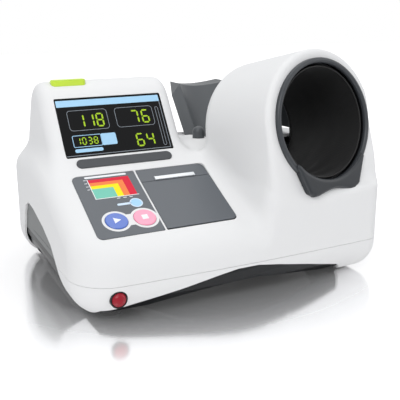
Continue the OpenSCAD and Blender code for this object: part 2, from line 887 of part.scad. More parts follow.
module top_key() {
    color([0.78, 0.90, 0.24])
        union() {
            key_lozenge(0, head_z - 12, top_key_z - 1);
            key_lozenge(-1, top_key_z - 1.1, top_key_z);
        }
}
module top_key_switch() {
    color(dark)
        translate([top_key_x, top_key_y, head_z - 26])
            union() {
                translate([-8, -6, 0])
                    cube([16, 12, 9]);
                translate([0, 0, 9])
                    cylinder(r = 2, h = 5 - top_key_travel - 0.4);
            }
}

module emergency_stop_button() {
    color([0.63, 0.02, 0.12])
        translate([estop_x, estop_y, estop_z])
            rotate([-90, 0, 0])
                rotate_extrude()
                    polygon([
                        [0, 0], [3.5, 0.4], [6, 1.5], [7.8, 3.1], [estop_r, 5], [estop_r, 9], [3, 9],
                        [3, 24], [0, 24]
                    ]);
}
module emergency_stop_collar() {
    color(dark)
        translate([estop_x, estop_y + 5, estop_z])
            rotate([-90, 0, 0])
                difference() {
                    cylinder(r = estop_r + 1.9, h = 15);
                    translate([0, 0, -overcut])
                        cylinder(r = estop_r + fit_gap, h = 12 + overcut);
                    cylinder(r = 3 + fit_gap, h = 20);
                }
}
module emergency_switch_block() {
    color(dark)
        translate([estop_x, estop_y + 24 + estop_travel + 0.4, estop_z])
            translate([-10, 0, -8])
                cube([20, 20, 18]);
}

// ---------- printer ----------

module printer_cover() {
    skin = 0.8;
    color(panel_grey)
        on_slope()
            intersection() {
                difference() {
                    union() {
                        translate([print_panel_x + 0.2, hinge_s + 3.5, panel_low])
                            cube([print_panel_w - 0.4, cover_s1 - hinge_s - 3.5, panel_t]);
                        // only a skin reaches over the ears of the hinge
                        translate([print_panel_x + 0.2, print_s0, panel_proud - skin])
                            cube([print_panel_w - 0.4, hinge_s + 4 - print_s0, skin]);
                        translate([print_panel_x + 6, print_s0, panel_low])
                            cube([print_panel_w - 12, hinge_s + 4 - print_s0, panel_t]);
                        translate([print_panel_x + 6, hinge_s, hinge_n])
                            rotate([0, 90, 0])
                                cylinder(r = 3, h = print_panel_w - 12);
                        for (x = [print_panel_x + 4, print_panel_x + print_panel_w - 6.5])
                            translate([x, platen_s, platen_n]) {
                                rotate([0, 90, 0])
                                    cylinder(r = 3.4, h = 2.5);
                                translate([0, -3.4, 0])
                                    cube([2.5, 6.8, panel_low - platen_n + 0.5]);
                            }
                    }
                    translate([print_panel_x - 5, hinge_s, hinge_n])
                        rotate([0, 90, 0])
                            cylinder(r = hinge_r + run_fit, h = print_panel_w + 10);
                    translate([print_panel_x - 5, platen_s, platen_n])
                        rotate([0, 90, 0])
                            cylinder(r = 1.5 + run_fit, h = print_panel_w + 10);
                }
                translate([print_panel_x + 0.2, print_s0, -20])
                    corner_plate([print_panel_w - 0.4, panel_len], panel_inner_r, panel_outer_r, 30);
            }
}
module hinge_pin() {
    color(metal)
        on_slope()
            translate([print_panel_x + 1, hinge_s, hinge_n])
                rotate([0, 90, 0])
                    cylinder(r = hinge_r, h = print_panel_w - 2);
}
module printer_bay() {
    bay_low = roll_n - roll_r - 4;
    color(dark)
        on_slope() {
            difference() {
                translate([print_panel_x + 1, hinge_s + 4, bay_low])
                    cube([print_panel_w - 2, bay_s1 - hinge_s - 4, panel_low - 4.5 - bay_low]);
                translate([print_panel_x + 3, hinge_s + 6, bay_low + 2])
                    cube([print_panel_w - 6, bay_s1 - hinge_s - 8, 100]);
                // open slots that the spindle drops into
                translate([print_panel_x - 5, roll_s, roll_n])
                    rotate([0, 90, 0])
                        cylinder(r = 4 + 0.3, h = print_panel_w + 10);
                translate([print_panel_x - 5, roll_s - 4.3, roll_n])
                    cube([print_panel_w + 10, 8.6, 60]);
            }
            // two ears that hold the hinge pin
            for (x = [print_panel_x + 0.4, print_panel_x + print_panel_w - 5.7])
                difference() {
                    translate([x, hinge_s, hinge_n]) {
                        rotate([0, 90, 0])
                            cylinder(r = 2, h = 5.3);
                        translate([0, -1.5, -16])
                            cube([5.3, 3.5, 16]);
                        translate([0, -1.5, -16])
                            cube([5.3, 8.5, 4]);
                    }
                    translate([x - overcut, hinge_s, hinge_n])
                        rotate([0, 90, 0])
                            cylinder(r = hinge_r + 0.02, h = 8);
                }
        }
}
module paper_roll() {
    color([0.96, 0.96, 0.94])
        on_slope()
            translate([print_panel_x + (print_panel_w - paper_w) / 2, roll_s, roll_n])
                rotate([0, 90, 0])
                    difference() {
                        cylinder(r = roll_r, h = paper_w);
                        translate([0, 0, -overcut])
                            cylinder(r = 4 + run_fit, h = paper_w + 2 * overcut);
                    }
}
module paper_spindle() {
    color(dark)
        on_slope()
            translate([print_panel_x + 1.2, roll_s, roll_n])
                rotate([0, 90, 0])
                    cylinder(r = 4, h = print_panel_w - 2.4);
}
module platen_roller() {
    color([0.15, 0.15, 0.16])
        on_slope()
            translate([print_panel_x + 8, platen_s, platen_n])
                rotate([0, 90, 0])
                    difference() {
                        cylinder(r = platen_r, h = print_panel_w - 16);
                        translate([0, 0, -overcut])
                            cylinder(r = 1.5, h = print_panel_w);
                    }
}
module platen_shaft() {
    color(metal)
        on_slope()
            translate([print_panel_x + 3.8, platen_s, platen_n])
                rotate([0, 90, 0])
                    cylinder(r = 1.5, h = print_panel_w - 7.6);
}
tear_s = cover_s1 + 0.8;
module printer_frame() {
    top_s = panel_s0 + panel_len;
    color(panel_grey)
        on_slope()
            union() {
                translate([print_panel_x, tear_s, panel_low])
                    cube([print_panel_w, 12, panel_t]);
                translate([print_panel_x, tear_s, panel_low])
                    corner_plate([print_panel_w, top_s - tear_s], panel_inner_r, panel_outer_r, panel_t);
                translate([print_panel_x + 8, tear_s + 5.8, -30])
                    cube([print_panel_w - 16, 3, 30 + panel_low + 0.2]);
            }
}
module thermal_head() {
    color(metal)
        on_slope()
            translate([print_panel_x + 10, tear_s - 0.4, -18])
                union() {
                    cube([print_panel_w - 20, 2.4, 13]);
                    translate([0, 2.3, 2])
                        cube([print_panel_w - 20, 3.8, 6]);
                }
}
module tear_bar() {
    color(metal)
        on_slope()
            translate([print_panel_x + 20, tear_s, panel_proud])
                difference() {
                    cube([58, 6.5, 1.8]);
                    for (i = [0 : 27])
                        translate([1.5 + 2 * i, 0, -overcut])
                            rotate([0, 0, 45])
                                translate([-0.6, -0.6, 0])
                                    cube([1.2, 1.2, 5]);
                }
}

// ---------- arm tunnel ----------

module front_ring() {
    color(slate)
        in_tunnel_frame()
            rotate([-90, 0, 0])
                rotate_extrude($fn = 96)
                    intersection() {
                        union() {
                            translate([tunnel_r + ring_face / 2, ring_face / 2])
                                circle(r = ring_face / 2, $fn = 24);
                            translate([tunnel_r, ring_face / 2])
                                square([ring_face, ring_proud]);
                        }
                        square([ring_r, ring_proud - 0.1]);
                    }
}
module rear_ring() {
    collar_t = 3.5;
    collar_y1 = drum_len + 35;
    color(slate)
        union() {
            in_tunnel_frame()
                translate([0, drum_len + 0.1, 0])
                    rotate([-90, 0, 0])
                        rotate_extrude($fn = 96)
                            union() {
                                translate([tunnel_r, 0])
                                    square([ring_face, 4]);
                                translate([tunnel_r + ring_face / 2, 4])
                                    circle(r = ring_face / 2, $fn = 24);
                            }
            // a guard on the outer side carries the tunnel's wall on, down to just above the deck
            difference() {
                in_tunnel_frame()
                    intersection() {
                        tunnel_tube(tunnel_r + 1 + collar_t, tunnel_r + 1, drum_len + 2, collar_y1);
                        translate([32, 0, -40])
                            cube([100, collar_y1 + 1, 110]);
                    }
                translate([0, -100, 0])
                    cube([300, 300, deck_z + 7]);
            }
        }
}
module arm_lip() {
    color(slate)
        in_tunnel_frame()
            difference() {
                lip_solid(0);
                translate([0, -0.2, 0])
                    rotate([-90, 0, 0])
                        cylinder(r = ring_r + 0.2, h = 60, $fn = 96);
            }
}
nozzle_y = 60;
module tunnel_liner() {
    color(dark)
        in_tunnel_frame()
            difference() {
                tunnel_tube(liner_r, liner_r - liner_t, liner_y0, liner_y1);
                translate([0, nozzle_y, -liner_r - 5])
                    cylinder(r = 4.5, h = 20);
            }
}
module cuff_bladder() {
    color([0.2, 0.2, 0.22])
        in_tunnel_frame()
            union() {
                tunnel_tube(bladder_r, bladder_r - bladder_t, liner_y0 + 6, liner_y1 - 6);
                translate([0, nozzle_y, -bladder_r - 8])
                    cylinder(r = 3.5, h = 9);
            }
}
module cuff_sleeve() {
    color([0.05, 0.05, 0.05])
        in_tunnel_frame()
            tunnel_tube(sleeve_r, sleeve_r - sleeve_t, liner_y0 + 1, liner_y1 - 1);
}

// ---------- elbow rest ----------

rest_y0 = 79;
rest_tilt = 50;
trough_z = mouth_z - (drum_len + 8) * sin(tunnel_fall) - tunnel_r * cos(tunnel_fall);
// along the slope of the scoop, with the axis raised off the bolsters' face
module along_scoop(rise) {
    translate([rest_x, rest_y0, deck_at(rest_y0)])
        rotate([rest_tilt, 0, 0])
            translate([0, -110, rise])
                rotate([-90, 0, 0])
                    children();
}
// the rest's two ends: a slanted top corner, and a face that runs back and inwards from the front edge
module rest_end_cuts(grow) {
    h = rest_w / 2;
    up = [0, cos(rest_tilt), sin(rest_tilt)];
    back = [0.52, 0.84, -0.15];
    n = cross(up, back) / norm(cross(up, back));
    for (m = [0, 1])
        translate([rest_x, 0, 0])
            mirror([m, 0, 0]) {
                front_prism([
                    [-h - 4, rest_z - 16], [-h, rest_z - 17], [-h + 21, rest_z - 0.5],
                    [-h + 21, rest_z + 12], [-h - 4, rest_z + 12]
                ], rest_y0 - 20, rest_back_y + 20);
                translate([-h + grow, rest_y0, deck_at(rest_y0)])
                    multmatrix([
                        [up[0], back[0], n[0], 0], [up[1], back[1], n[1], 0], [up[2], back[2], n[2], 0]
                    ])
                        translate([-60, -40, 0])
                            cube([220, 300, 80]);
            }
}
module elbow_rest() {
    foot_z = deck_at(rest_y0) + 0.05;
    run = (rest_z - 5 - foot_z) / tan(rest_tilt);
    top_y = rest_y0 + run;
    half_gap = rest_w / 2 - bolster_w;
    rise = sqrt(scoop_r * scoop_r - half_gap * half_gap);
    low_y = rest_y0 + 14 - (foot_z - 12 - trough_z) / tan(rest_tilt);
    outer = trough_r + trough_wall;
    color([0.36, 0.37, 0.38])
        difference() {
            union() {
                difference() {
                    side_prism([
                        [rest_y0, foot_z], [top_y, rest_z - 5], [top_y + 6, rest_z], [top_y + 44, rest_z - 1],
                        [rest_back_y, rest_z - 10], [rest_back_y - 3, 205], [back_y + 2, 170],
                        [130, deck_at(130) + 0.05]
                    ], rest_x - rest_w / 2, rest_x + rest_w / 2);
                    along_scoop(rise)
                        cylinder(r = scoop_r, h = 350, $fn = 96);
                    // dished top edge
                    translate([rest_x, 100, rest_z + 128])
                        rotate([-90, 0, 0])
                            cylinder(r = 136, h = 140, $fn = 96);
                    rest_end_cuts(0);
                    // the hollow, open under the overhang
                    difference() {
                        side_prism([
                            [rest_y0 + 56, 150], [rest_y0 + 56, foot_z + 4], [top_y + 40, rest_z - 30],
                            [top_y + 53, rest_z - 30], [top_y + 54, 205], [back_y + 12, 150]
                        ], rest_x - rest_w / 2 + 5, rest_x + rest_w / 2 - 5);
                        rest_end_cuts(5);
                    }
                }
                difference() {
                    side_prism([
                        [-70, trough_z - 4], [low_y + 6, trough_z - 4], [rest_y0 + 24, 148], [rest_y0 + 30, 150],
                        [rest_y0 + 30, deck_at(rest_y0 + 30) + 1], [rest_y0, foot_z], [-70, deck_at(-70)]
                    ], rest_x - outer, rest_x + outer);
                    along_scoop(rise - scoop_r + trough_r)
                        cylinder(r = trough_r, h = 350, $fn = 96);
                }
                // bulkhead behind the rear ring, under the deck
                in_tunnel_frame()
                    translate([-ring_r + 1, bulkhead_y0, -ring_r])
                        cube([2 * ring_r - 2, 2.5, 56]);
            }
            // where the trough starts
            in_tunnel_frame()
                translate([-200, -300, -300])
                    cube([400, 300 + bulkhead_y0, 600]);
            // the trough that carries the arm on from the tunnel
            translate([rest_x, -90, trough_z + trough_r])
                rotate([-90, 0, 0])
                    cylinder(r = trough_r, h = 90 + low_y, $fn = 96);
            translate([rest_x - trough_r, -90, trough_z + trough_r])
                cube([2 * trough_r, 90 + rest_y0, 100]);
        }
}
module elbow_switch() {
    color([0.30, 0.31, 0.32])
        translate([elbow_x, elbow_y, elbow_z - elbow_r])
            union() {
                sphere(r = elbow_r);
                translate([0, 0, -18])
                    cylinder(r = elbow_r, h = 18);
            }
}
module elbow_switch_sensor() {
    color(dark)
        translate([elbow_x - 8, elbow_y - 8, elbow_z - elbow_r - 18 - elbow_travel - 0.4 - 14])
            cube([16, 16, 14]);
}

// ---------- inside the base ----------

module main_board() {
    translate([-150, -60, plate_z + 6])
        board([160, 100]);
}
module board_parts() {
    z = plate_z + 7.6;
    color(dark) {
        translate([-90, -20, z])
            cube([22, 22, 2]);
        translate([-130, 5, z])
            cube([14, 20, 3]);
        translate([-60, 10, z])
            cube([10, 8, 2]);
        for (i = [0 : 3])
            translate([-140 + i * 14, -50, z])
                cylinder(r = 4.5, h = 12);
        for (i = [0 : 2])
            translate([-70 + i * 22, -55, z])
                cube([18, 7, 9]);
    }
}
module pressure_sensor() {
    color([0.85, 0.85, 0.8])
        translate([-18, 12, plate_z + 7.6])
            union() {
                cube([14, 14, 7]);
                translate([7, 7, 7])
                    cylinder(r = 2.4, h = 8);
            }
}
pump_y = 60;
pump_z = 59;
module air_pump() {
    color(metal)
        translate([70, pump_y, pump_z])
            rotate([0, 90, 0])
                union() {
                    cylinder(r = 17, h = 52);
                    cylinder(r = 14, h = 70);
                    translate([0, 0, -8])
                        cylinder(r = 3, h = 9);
                }
}
module pump_cradle() {
    color(dark)
        difference() {
            translate([76, pump_y - 20, plate_z])
                cube([40, 40, 18]);
            translate([60, pump_y, pump_z])
                rotate([0, 90, 0])
                    cylinder(r = 17.05, h = 90);
        }
}
module exhaust_valve() {
    color(metal)
        translate([60, 0, plate_z])
            union() {
                cube([24, 24, 26]);
                translate([-6, 12, 18])
                    rotate([0, 90, 0])
                        cylinder(r = 2.4, h = 7);
            }
}
module quick_release_valve() {
    color([0.25, 0.27, 0.30])
        translate([104, -12, plate_z])
            union() {
                cube([22, 20, 24]);
                translate([11, 10, 24])
                    cylinder(r = 2.4, h = 6);
            }
}
// end of the bladder's nozzle
nozzle_z = -bladder_r - 8;
nozzle = [
    mouth_x - sin(tunnel_turn) * (nozzle_y * cos(tunnel_fall) + nozzle_z * sin(tunnel_fall)),
    -mouth_y + cos(tunnel_turn) * (nozzle_y * cos(tunnel_fall) + nozzle_z * sin(tunnel_fall)),
    mouth_z - nozzle_y * sin(tunnel_fall) + nozzle_z * cos(tunnel_fall)
];
module air_tubes() {
    hub = [30, 20, plate_z + 24];
    color([0.75, 0.75, 0.72])
        union() {
            translate(hub - [5, 5, 5])
                cube(10);
            // pump, exhaust valve, release valve, sensor and cuff
            hose(bend([[61.8, pump_y, pump_z], [40, pump_y, pump_z], [30, 50, 60], hub + [0, 4, 0]], 12), 2.6);
            hose(bend([[53.8, 12, plate_z + 18], [46, 12, plate_z + 18], [44, 20, 60], hub + [4, 0, 0]], 8), 2.6);
            hose(bend([[-11, 19, plate_z + 22.8], [-11, 19, 78], [8, 20, 64], hub - [4, 0, 0]], 10), 2.6);
            hose(bend([nozzle, nozzle - [0, -4, 40], [32, -70, 60], hub - [0, 4, 0]], 18), 2.6);
            hose(bend([[115, -2, plate_z + 30.2], [115, -2, 90], [60, -10, 110], hub + [0, 0, 4]], 14), 2.6);
        }
}
module power_supply() {
    translate([-165, 60, plate_z + 6])
        board([110, 60]);
}
module power_supply_parts() {
    z = plate_z + 7.6;
    color([0.9, 0.8, 0.2])
        translate([-125, 78, z])
            cube([26, 24, 14]);
    color(dark) {
        for (i = [0 : 1])
            translate([-145, 78 + i * 18, z])
                cylinder(r = 7, h = 14);
        translate([-90, 70, z])
            cube([3, 40, 14]);
        translate([-75, 84, z])
            cylinder(r = 6, h = 14);
    }
}
panel_y = back_y - 3;
module rear_cut(x, z, w, h) {
    translate([rear_x + x, panel_y - 10, rear_z + z])
        cube([w, 30, h]);
}
module rear_panel() {
    color(slate)
        difference() {
            union() {
                translate([rear_x, panel_y + 3, rear_z])
                    rotate([90, 0, 0])
                        round_plate([rear_w, rear_h], 3.7, 3);
                // flange behind the housing's wall
                translate([rear_x - 4, panel_y - 2.2, rear_z - 4])
                    cube([rear_w + 8, 2.3, rear_h + 8]);
            }
            rear_cut(8, 8, 28, 25);
            rear_cut(46, 10, 20, 22);
            translate([rear_x + 78, panel_y - 10, rear_z + 21])
                rotate([-90, 0, 0])
                    cylinder(r = 6, h = 30);
            rear_cut(90, 14, 20, 13);
        }
}
module power_inlet() {
    color(dark)
        translate([rear_x + 8.1, panel_y - 16, rear_z + 8.1])
            difference() {
                cube([27.8, 20, 24.8]);
                translate([3, 4, 3])
                    cube([21.8, 30, 18.8]);
            }
    color(metal)
        for (p = [[15, 20.5], [22, 20.5], [29, 20.5]])
            translate([rear_x + p[0] - 1, panel_y - 12.1, rear_z + p[1] - (p[0] == 22 ? 1 : 4)])
                cube([2, 11, 4]);
}
module switch_body() {
    color(dark)
        difference() {
            translate([rear_x + 46.1, panel_y - 16, rear_z + 10.1])
                cube([19.8, 20, 21.8]);
            translate([rear_x + 48.5, panel_y - 12, rear_z + 12.5])
                cube([15, 30, 17]);
            translate([rear_x + 46.1 - overcut, panel_y, rear_z + 21])
                rotate([0, 90, 0])
                    cylinder(r = 1.5 + run_fit, h = 30);
        }
}
rocker_swing = 10;
module power_rocker() {
    color([0.7, 0.1, 0.1])
        translate([rear_x + 49, panel_y, rear_z + 21])
            rotate([rocker_swing, 0, 0]) {
                rotate([90, 0, 90])
                    linear_extrude(14)
                        polygon([[-4, -5], [1, -7.6], [5.2, -7.6], [3.6, 0], [5.2, 7.6], [1, 7.6], [-4, 5]]);
                translate([-2.4, 0, 0])
                    rotate([0, 90, 0])
                        cylinder(r = 1.5, h = 18.8);
            }
}
module fuse_holder() {
    color(dark)
        translate([rear_x + 78, panel_y - 16, rear_z + 21])
            rotate([-90, 0, 0])
                union() {
                    cylinder(r = 5.8, h = 18);
                    translate([0, 0, 19.05])
                        cylinder(r = 7.5, h = 3);
                    cylinder(r = 4, h = 20);
                }
}
module data_port() {
    color(metal)
        translate([rear_x + 90.1, panel_y - 12, rear_z + 14.1])
            difference() {
                cube([19.8, 15.5, 12.8]);
                translate([2, 4, 2])
                    cube([15.8, 30, 8.8]);
            }
}
module speaker() {
    color(dark)
        translate([-120, -140, plate_z])
            rotate_extrude()
                polygon([[0, 2], [8, 2], [20, 0], [25, 0], [25, 3], [12, 12], [12, 18], [0, 18]]);
}

upper_housing();
lower_housing();
base_chassis();
side_cover_left();
side_cover_right();
rubber_feet();
housing_screws();
display_window();
display_bezel();
display_board();
digit_modules();
name_strip();
control_panel();
start_button();
stop_button();
keypad_board();
key_switches();
top_key();
top_key_switch();
emergency_stop_button();
emergency_stop_collar();
emergency_switch_block();
printer_cover();
hinge_pin();
printer_frame();
tear_bar();
thermal_head();
platen_roller();
platen_shaft();
paper_roll();
paper_spindle();
printer_bay();
front_ring();
arm_lip();
rear_ring();
tunnel_liner();
cuff_bladder();
cuff_sleeve();
elbow_rest();
elbow_switch();
elbow_switch_sensor();
main_board();
board_parts();
pressure_sensor();
air_pump();
pump_cradle();
exhaust_valve();
quick_release_valve();
air_tubes();
power_supply();
power_supply_parts();
rear_panel();
power_inlet();
switch_body();
power_rocker();
fuse_holder();
data_port();
speaker();
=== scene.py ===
import math

import bpy
import numpy as np
from mathutils import Matrix, Vector


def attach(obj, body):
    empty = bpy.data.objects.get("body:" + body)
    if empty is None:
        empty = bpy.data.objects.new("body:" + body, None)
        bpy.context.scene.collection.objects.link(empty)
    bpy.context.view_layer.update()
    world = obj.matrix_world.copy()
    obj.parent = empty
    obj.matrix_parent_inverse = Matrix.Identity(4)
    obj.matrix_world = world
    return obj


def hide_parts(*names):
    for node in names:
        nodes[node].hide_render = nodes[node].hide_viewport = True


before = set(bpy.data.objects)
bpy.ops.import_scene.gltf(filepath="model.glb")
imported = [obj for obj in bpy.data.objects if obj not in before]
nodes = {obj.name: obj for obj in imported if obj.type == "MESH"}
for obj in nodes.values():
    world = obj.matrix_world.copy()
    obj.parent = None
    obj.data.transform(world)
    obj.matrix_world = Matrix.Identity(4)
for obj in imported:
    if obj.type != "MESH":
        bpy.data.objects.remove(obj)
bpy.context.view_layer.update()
MM = 0.001

# ---------------------------------------------------------------- camera

CAMERA_PLACE = (-418.5, -894.0, 370.3)
YAW, PITCH = math.radians(26.7), math.radians(16.3)
SENSOR, FOCAL_PX, FRAME_PX = 36.0, 684.0, 400.0

cam_data = bpy.data.cameras.new("camera")
cam = bpy.data.objects.new("camera", cam_data)
bpy.context.scene.collection.objects.link(cam)
bpy.context.scene.camera = cam
look = Vector((math.sin(YAW) * math.cos(PITCH), math.cos(YAW) * math.cos(PITCH), -math.sin(PITCH)))
cam.location = Vector(CAMERA_PLACE) * MM
cam.rotation_mode = "QUATERNION"
cam.rotation_quaternion = look.to_track_quat("-Z", "Y")
cam_data.sensor_width = SENSOR
cam_data.lens = SENSOR * FOCAL_PX / FRAME_PX
cam_data.clip_start, cam_data.clip_end = 0.05, 20.0

# ---------------------------------------------------------------- the housing's form
# The same form as the CAD housing, in millimetres: one field, negative inside.

HALF_W, HALF_D, FRONT_Y, FRONT_BOW = 219.5, 172.0, 193.0, 6.0
MID_Y = HALF_D - FRONT_Y
BACK_Y = MID_Y + HALF_D
PARTING_Z = 49.5
WALL = 3.0
FOOT_TURN = 44.0
SLOPE, SLOPE_Z = math.radians(25.5), 90.0
DISPLAY, DISPLAY_Y = math.radians(55.7), 45.0
DISPLAY_Z = SLOPE_Z + (FRONT_Y - DISPLAY_Y) * math.tan(SLOPE)
HEAD_W, HEAD_X, HEAD_Z, HEAD_BACK = 191.0, 106.0, 263.0, math.radians(64.3)
MOUTH = (130.0, -173.0, 217.5)
FALL, TURN = math.radians(13.0), math.radians(9.5)
DRUM_R, DRUM_LEN, RING_PROUD = 97.0, 150.0, 6.0
RING_R, RING_FACE = 84.0, 7.0
TUNNEL_R = RING_R - RING_FACE
HOLE_R = RING_R - 2.0
DECK_Z, DECK_FALL = 172.0, 0.11
REST_X, REST_W, REST_Y0 = 108.5, 130.0, 79.0
SIDE_ARCH = [(-150, -1), (-130, 20), (-99, 47), (-73, 69), (-37, 83), (14, 95), (41, 97), (58, 88),
             (68, 72), (75, 52), (85, 20), (95, -1)]
FRONT_ARCH = [(-205, -1), (-191, 16), (-150, 23), (-93, 32), (-45, 41), (-15, 45.5), (15, 45.5),
              (45, 41), (93, 32), (150, 19), (170, -1)]


def smin(a, b, k):
    h = np.maximum(k - np.abs(a - b), 0) / k
    return np.minimum(a, b) - h * h * k / 4


def smax(a, b, k):
    return -smin(-a, -b, k)


def step01(t):
    c = np.clip(t, 0, 1)
    return c * c * (3 - 2 * c)


def plan_field(x, y):
    yb = np.where(y < 0, y + FRONT_BOW * (1 - (x / HALF_W) ** 2), y)
    yc = yb - MID_Y
    r = np.where(yc < 0, np.where(x < 0, 50.0, 22.0), np.where(x < 0, 50.0, 45.0))
    qx = np.abs(x) - HALF_W + r
    qy = np.abs(yc) - HALF_D + r
    return np.minimum(np.maximum(qx, qy), 0) + np.hypot(np.maximum(qx, 0), np.maximum(qy, 0)) - r


def in_tunnel(x, y, z):
    a, b, c = x - MOUTH[0], y - MOUTH[1], z - MOUTH[2]
    u = a * math.cos(TURN) + b * math.sin(TURN)
    f = b * math.cos(TURN) - a * math.sin(TURN)
    return u, f * math.cos(FALL) - c * math.sin(FALL), f * math.sin(FALL) + c * math.cos(FALL)


def upper_field(p):
    x, y, z = p[..., 0], p[..., 1], p[..., 2]
    slope = (z - SLOPE_Z) * math.cos(SLOPE) - (y + FRONT_Y) * math.sin(SLOPE)
    deck = z - DECK_Z + y * DECK_FALL
    body = smax(slope, deck, 26)
    face = (z - DISPLAY_Z) * math.cos(DISPLAY) - (y + DISPLAY_Y) * math.sin(DISPLAY)
    back = (y - 70) * math.sin(HEAD_BACK) + (z - HEAD_Z) * math.cos(HEAD_BACK)
    head = smax(smax(smax(face, z - HEAD_Z, 18), back, 24), np.abs(x + HEAD_X) - HEAD_W / 2, 20)
    u, v, w = in_tunnel(x, y, z)
    rim = np.where(w > 0, np.hypot(u, w), np.abs(u)) - DRUM_R
    lean = 6 * step01(u / DRUM_R) * step01(-w / 60)
    drum = smax(smax(rim, RING_PROUD - v - lean, 7), v - DRUM_LEN, 22)
    shelf = smax(34.5 - x, z - 126, 12)
    f = smin(body, head, 20)
    f = smin(f, drum, 28 - 12 * step01((y + 60) / 60))
    f = smin(f, shelf, 20)
    return smax(f, plan_field(x, y), 30 - 18 * step01((x - 10) / 40) - 7 * step01((x - 150) / 40))


def lower_field(p):
    qa = plan_field(p[..., 0], p[..., 1]) + FOOT_TURN
    qz = FOOT_TURN - p[..., 2]
    return np.minimum(np.maximum(qa, qz), 0) + np.hypot(np.maximum(qa, 0), np.maximum(qz, 0)) - FOOT_TURN


def gradient(field, p):
    e = 0.05
    g = np.empty_like(p)
    for k in range(3):
        d = np.zeros(3)
        d[k] = e
        g[..., k] = (field(p + d) - field(p - d)) / (2 * e)
    return g


def isosurface(field, lo, hi, step, turns=4):
    """Vertices and quads of the surface field = 0 on a grid, each vertex then moved onto the surface."""
    axes = [np.arange(lo[k], hi[k] + step, step) for k in range(3)]
    grid = np.stack(np.meshgrid(*axes, indexing="ij"), -1)
    val = field(grid)
    n = [s - 1 for s in val.shape]
    acc = np.zeros(n + [3])
    count = np.zeros(n)
    corner = lambda o: val[o[0]:n[0] + o[0], o[1]:n[1] + o[1], o[2]:n[2] + o[2]]
    for k in range(3):
        others = [j for j in range(3) if j != k]
        for a in (0, 1):
            for b in (0, 1):
                o = [0, 0, 0]
                o[others[0]], o[others[1]] = a, b
                v0 = corner(o)
                o1 = list(o)
                o1[k] = 1
                v1 = corner(o1)
                hit = (v0 < 0) != (v1 < 0)
                t = np.where(hit, v0 / np.where(hit, v0 - v1, 1), 0)
                point = np.zeros(n + [3])
                point[..., others[0]], point[..., others[1]], point[..., k] = a, b, t
                acc += point * hit[..., None]
                count += hit
    live = count > 0
    index = -np.ones(n, int)
    index[live] = np.arange(live.sum())
    where = np.argwhere(live)
    verts = (where + acc[live] / count[live][:, None]) * step + np.array(lo)
    quads = []
    for k in range(3):
        i, j = [m for m in range(3) if m != k]
        low = [slice(1, -1)] * 3
        low[k] = slice(0, n[k])
        high = list(low)
        high[k] = slice(1, n[k] + 1)
        a, b = val[tuple(low)], val[tuple(high)]
        hits = np.argwhere((a < 0) != (b < 0))
        sign = a[tuple(hits.T)] < 0
        cell = hits.copy()
        cell[:, i] += 1
        cell[:, j] += 1
        ring = []
        for di, dj in ((0, 0), (1, 0), (1, 1), (0, 1)):
            c = cell.copy()
            c[:, i] -= 1 - di
            c[:, j] -= 1 - dj
            ring.append(index[tuple(c.T)])
        q = np.stack(ring, 1)
        flip = sign if k != 1 else ~sign
        q[~flip] = q[~flip][:, ::-1]
        quads.append(q)
    for _ in range(turns):
        g = gradient(field, verts)
        verts = verts - g * (field(verts) / np.maximum((g * g).sum(-1), 0.05))[:, None]
    return verts, np.concatenate(quads)


# ---------------------------------------------------------------- mesh helpers

def make(name, verts, faces, smooth=False):
    """A mesh object from points in millimetres."""
    mesh = bpy.data.meshes.new(name)
    mesh.from_pydata((np.asarray(verts, float) * MM).tolist(), [], [list(map(int, f)) for f in faces])
    mesh.validate()
    mesh.update()
    if smooth:
        mesh.shade_smooth()
    o = bpy.data.objects.new(name, mesh)
    bpy.context.scene.collection.objects.link(o)
    return o


def face_normal(p):
    """The normal of a flat outline, from its area vector."""
    q = p - p.mean(0)
    return np.cross(q, np.roll(q, -1, axis=0)).sum(0)


def prism(name, outline, z0, z1, place=lambda p: p):
    """A closed outline run from z0 to z1, then put in place."""
    n = len(outline)
    pts = [(x, y, z) for z in (z0, z1) for x, y in outline]
    faces = [list(range(n))[::-1], list(range(n, 2 * n))]
    faces += [[k, (k + 1) % n, n + (k + 1) % n, n + k] for k in range(n)]
    pts = place(np.array(pts, float))
    if (pts[n:2 * n].mean(0) - pts[:n].mean(0)) @ face_normal(pts[n:2 * n]) < 0:
        faces = [f[::-1] for f in faces]
    return make(name, pts, faces)


def apply_modifiers(o):
    dg = bpy.context.evaluated_depsgraph_get()
    mesh = bpy.data.meshes.new_from_object(o.evaluated_get(dg), depsgraph=dg)
    o.modifiers.clear()
    old = o.data
    o.data = mesh
    bpy.data.meshes.remove(old)
    return o


def cut(o, cutters, operation="DIFFERENCE"):
    for c in cutters:
        m = o.modifiers.new("cut", "BOOLEAN")
        m.operation = operation
        m.object = c
        m.solver = "MANIFOLD"
    bpy.context.view_layer.update()
    apply_modifiers(o)
    for c in cutters:
        bpy.data.objects.remove(c, do_unlink=True)
    return o


def rot_x(p, a):
    p = np.asarray(p, float)
    c, s = math.cos(a), math.sin(a)
    return np.stack([p[..., 0], p[..., 1] * c - p[..., 2] * s, p[..., 1] * s + p[..., 2] * c], -1)


def rot_z(p, a):
    p = np.asarray(p, float)
    c, s = math.cos(a), math.sin(a)
    return np.stack([p[..., 0] * c - p[..., 1] * s, p[..., 0] * s + p[..., 1] * c, p[..., 2]], -1)


def on_slope(p):
    return rot_x(p, SLOPE) + np.array([0, -FRONT_Y, SLOPE_Z])


def on_fold(p):
    return rot_x(p, (SLOPE + DISPLAY) / 2) + np.array([0, -DISPLAY_Y, DISPLAY_Z])


def on_display(p):
    return rot_x(p, DISPLAY) + np.array([0, -DISPLAY_Y, DISPLAY_Z])


def tunnel(p):
    """From the tunnel's frame, across, along and up, to the object's."""
    return rot_z(rot_x(p, -FALL), TURN) + np.array(MOUTH)


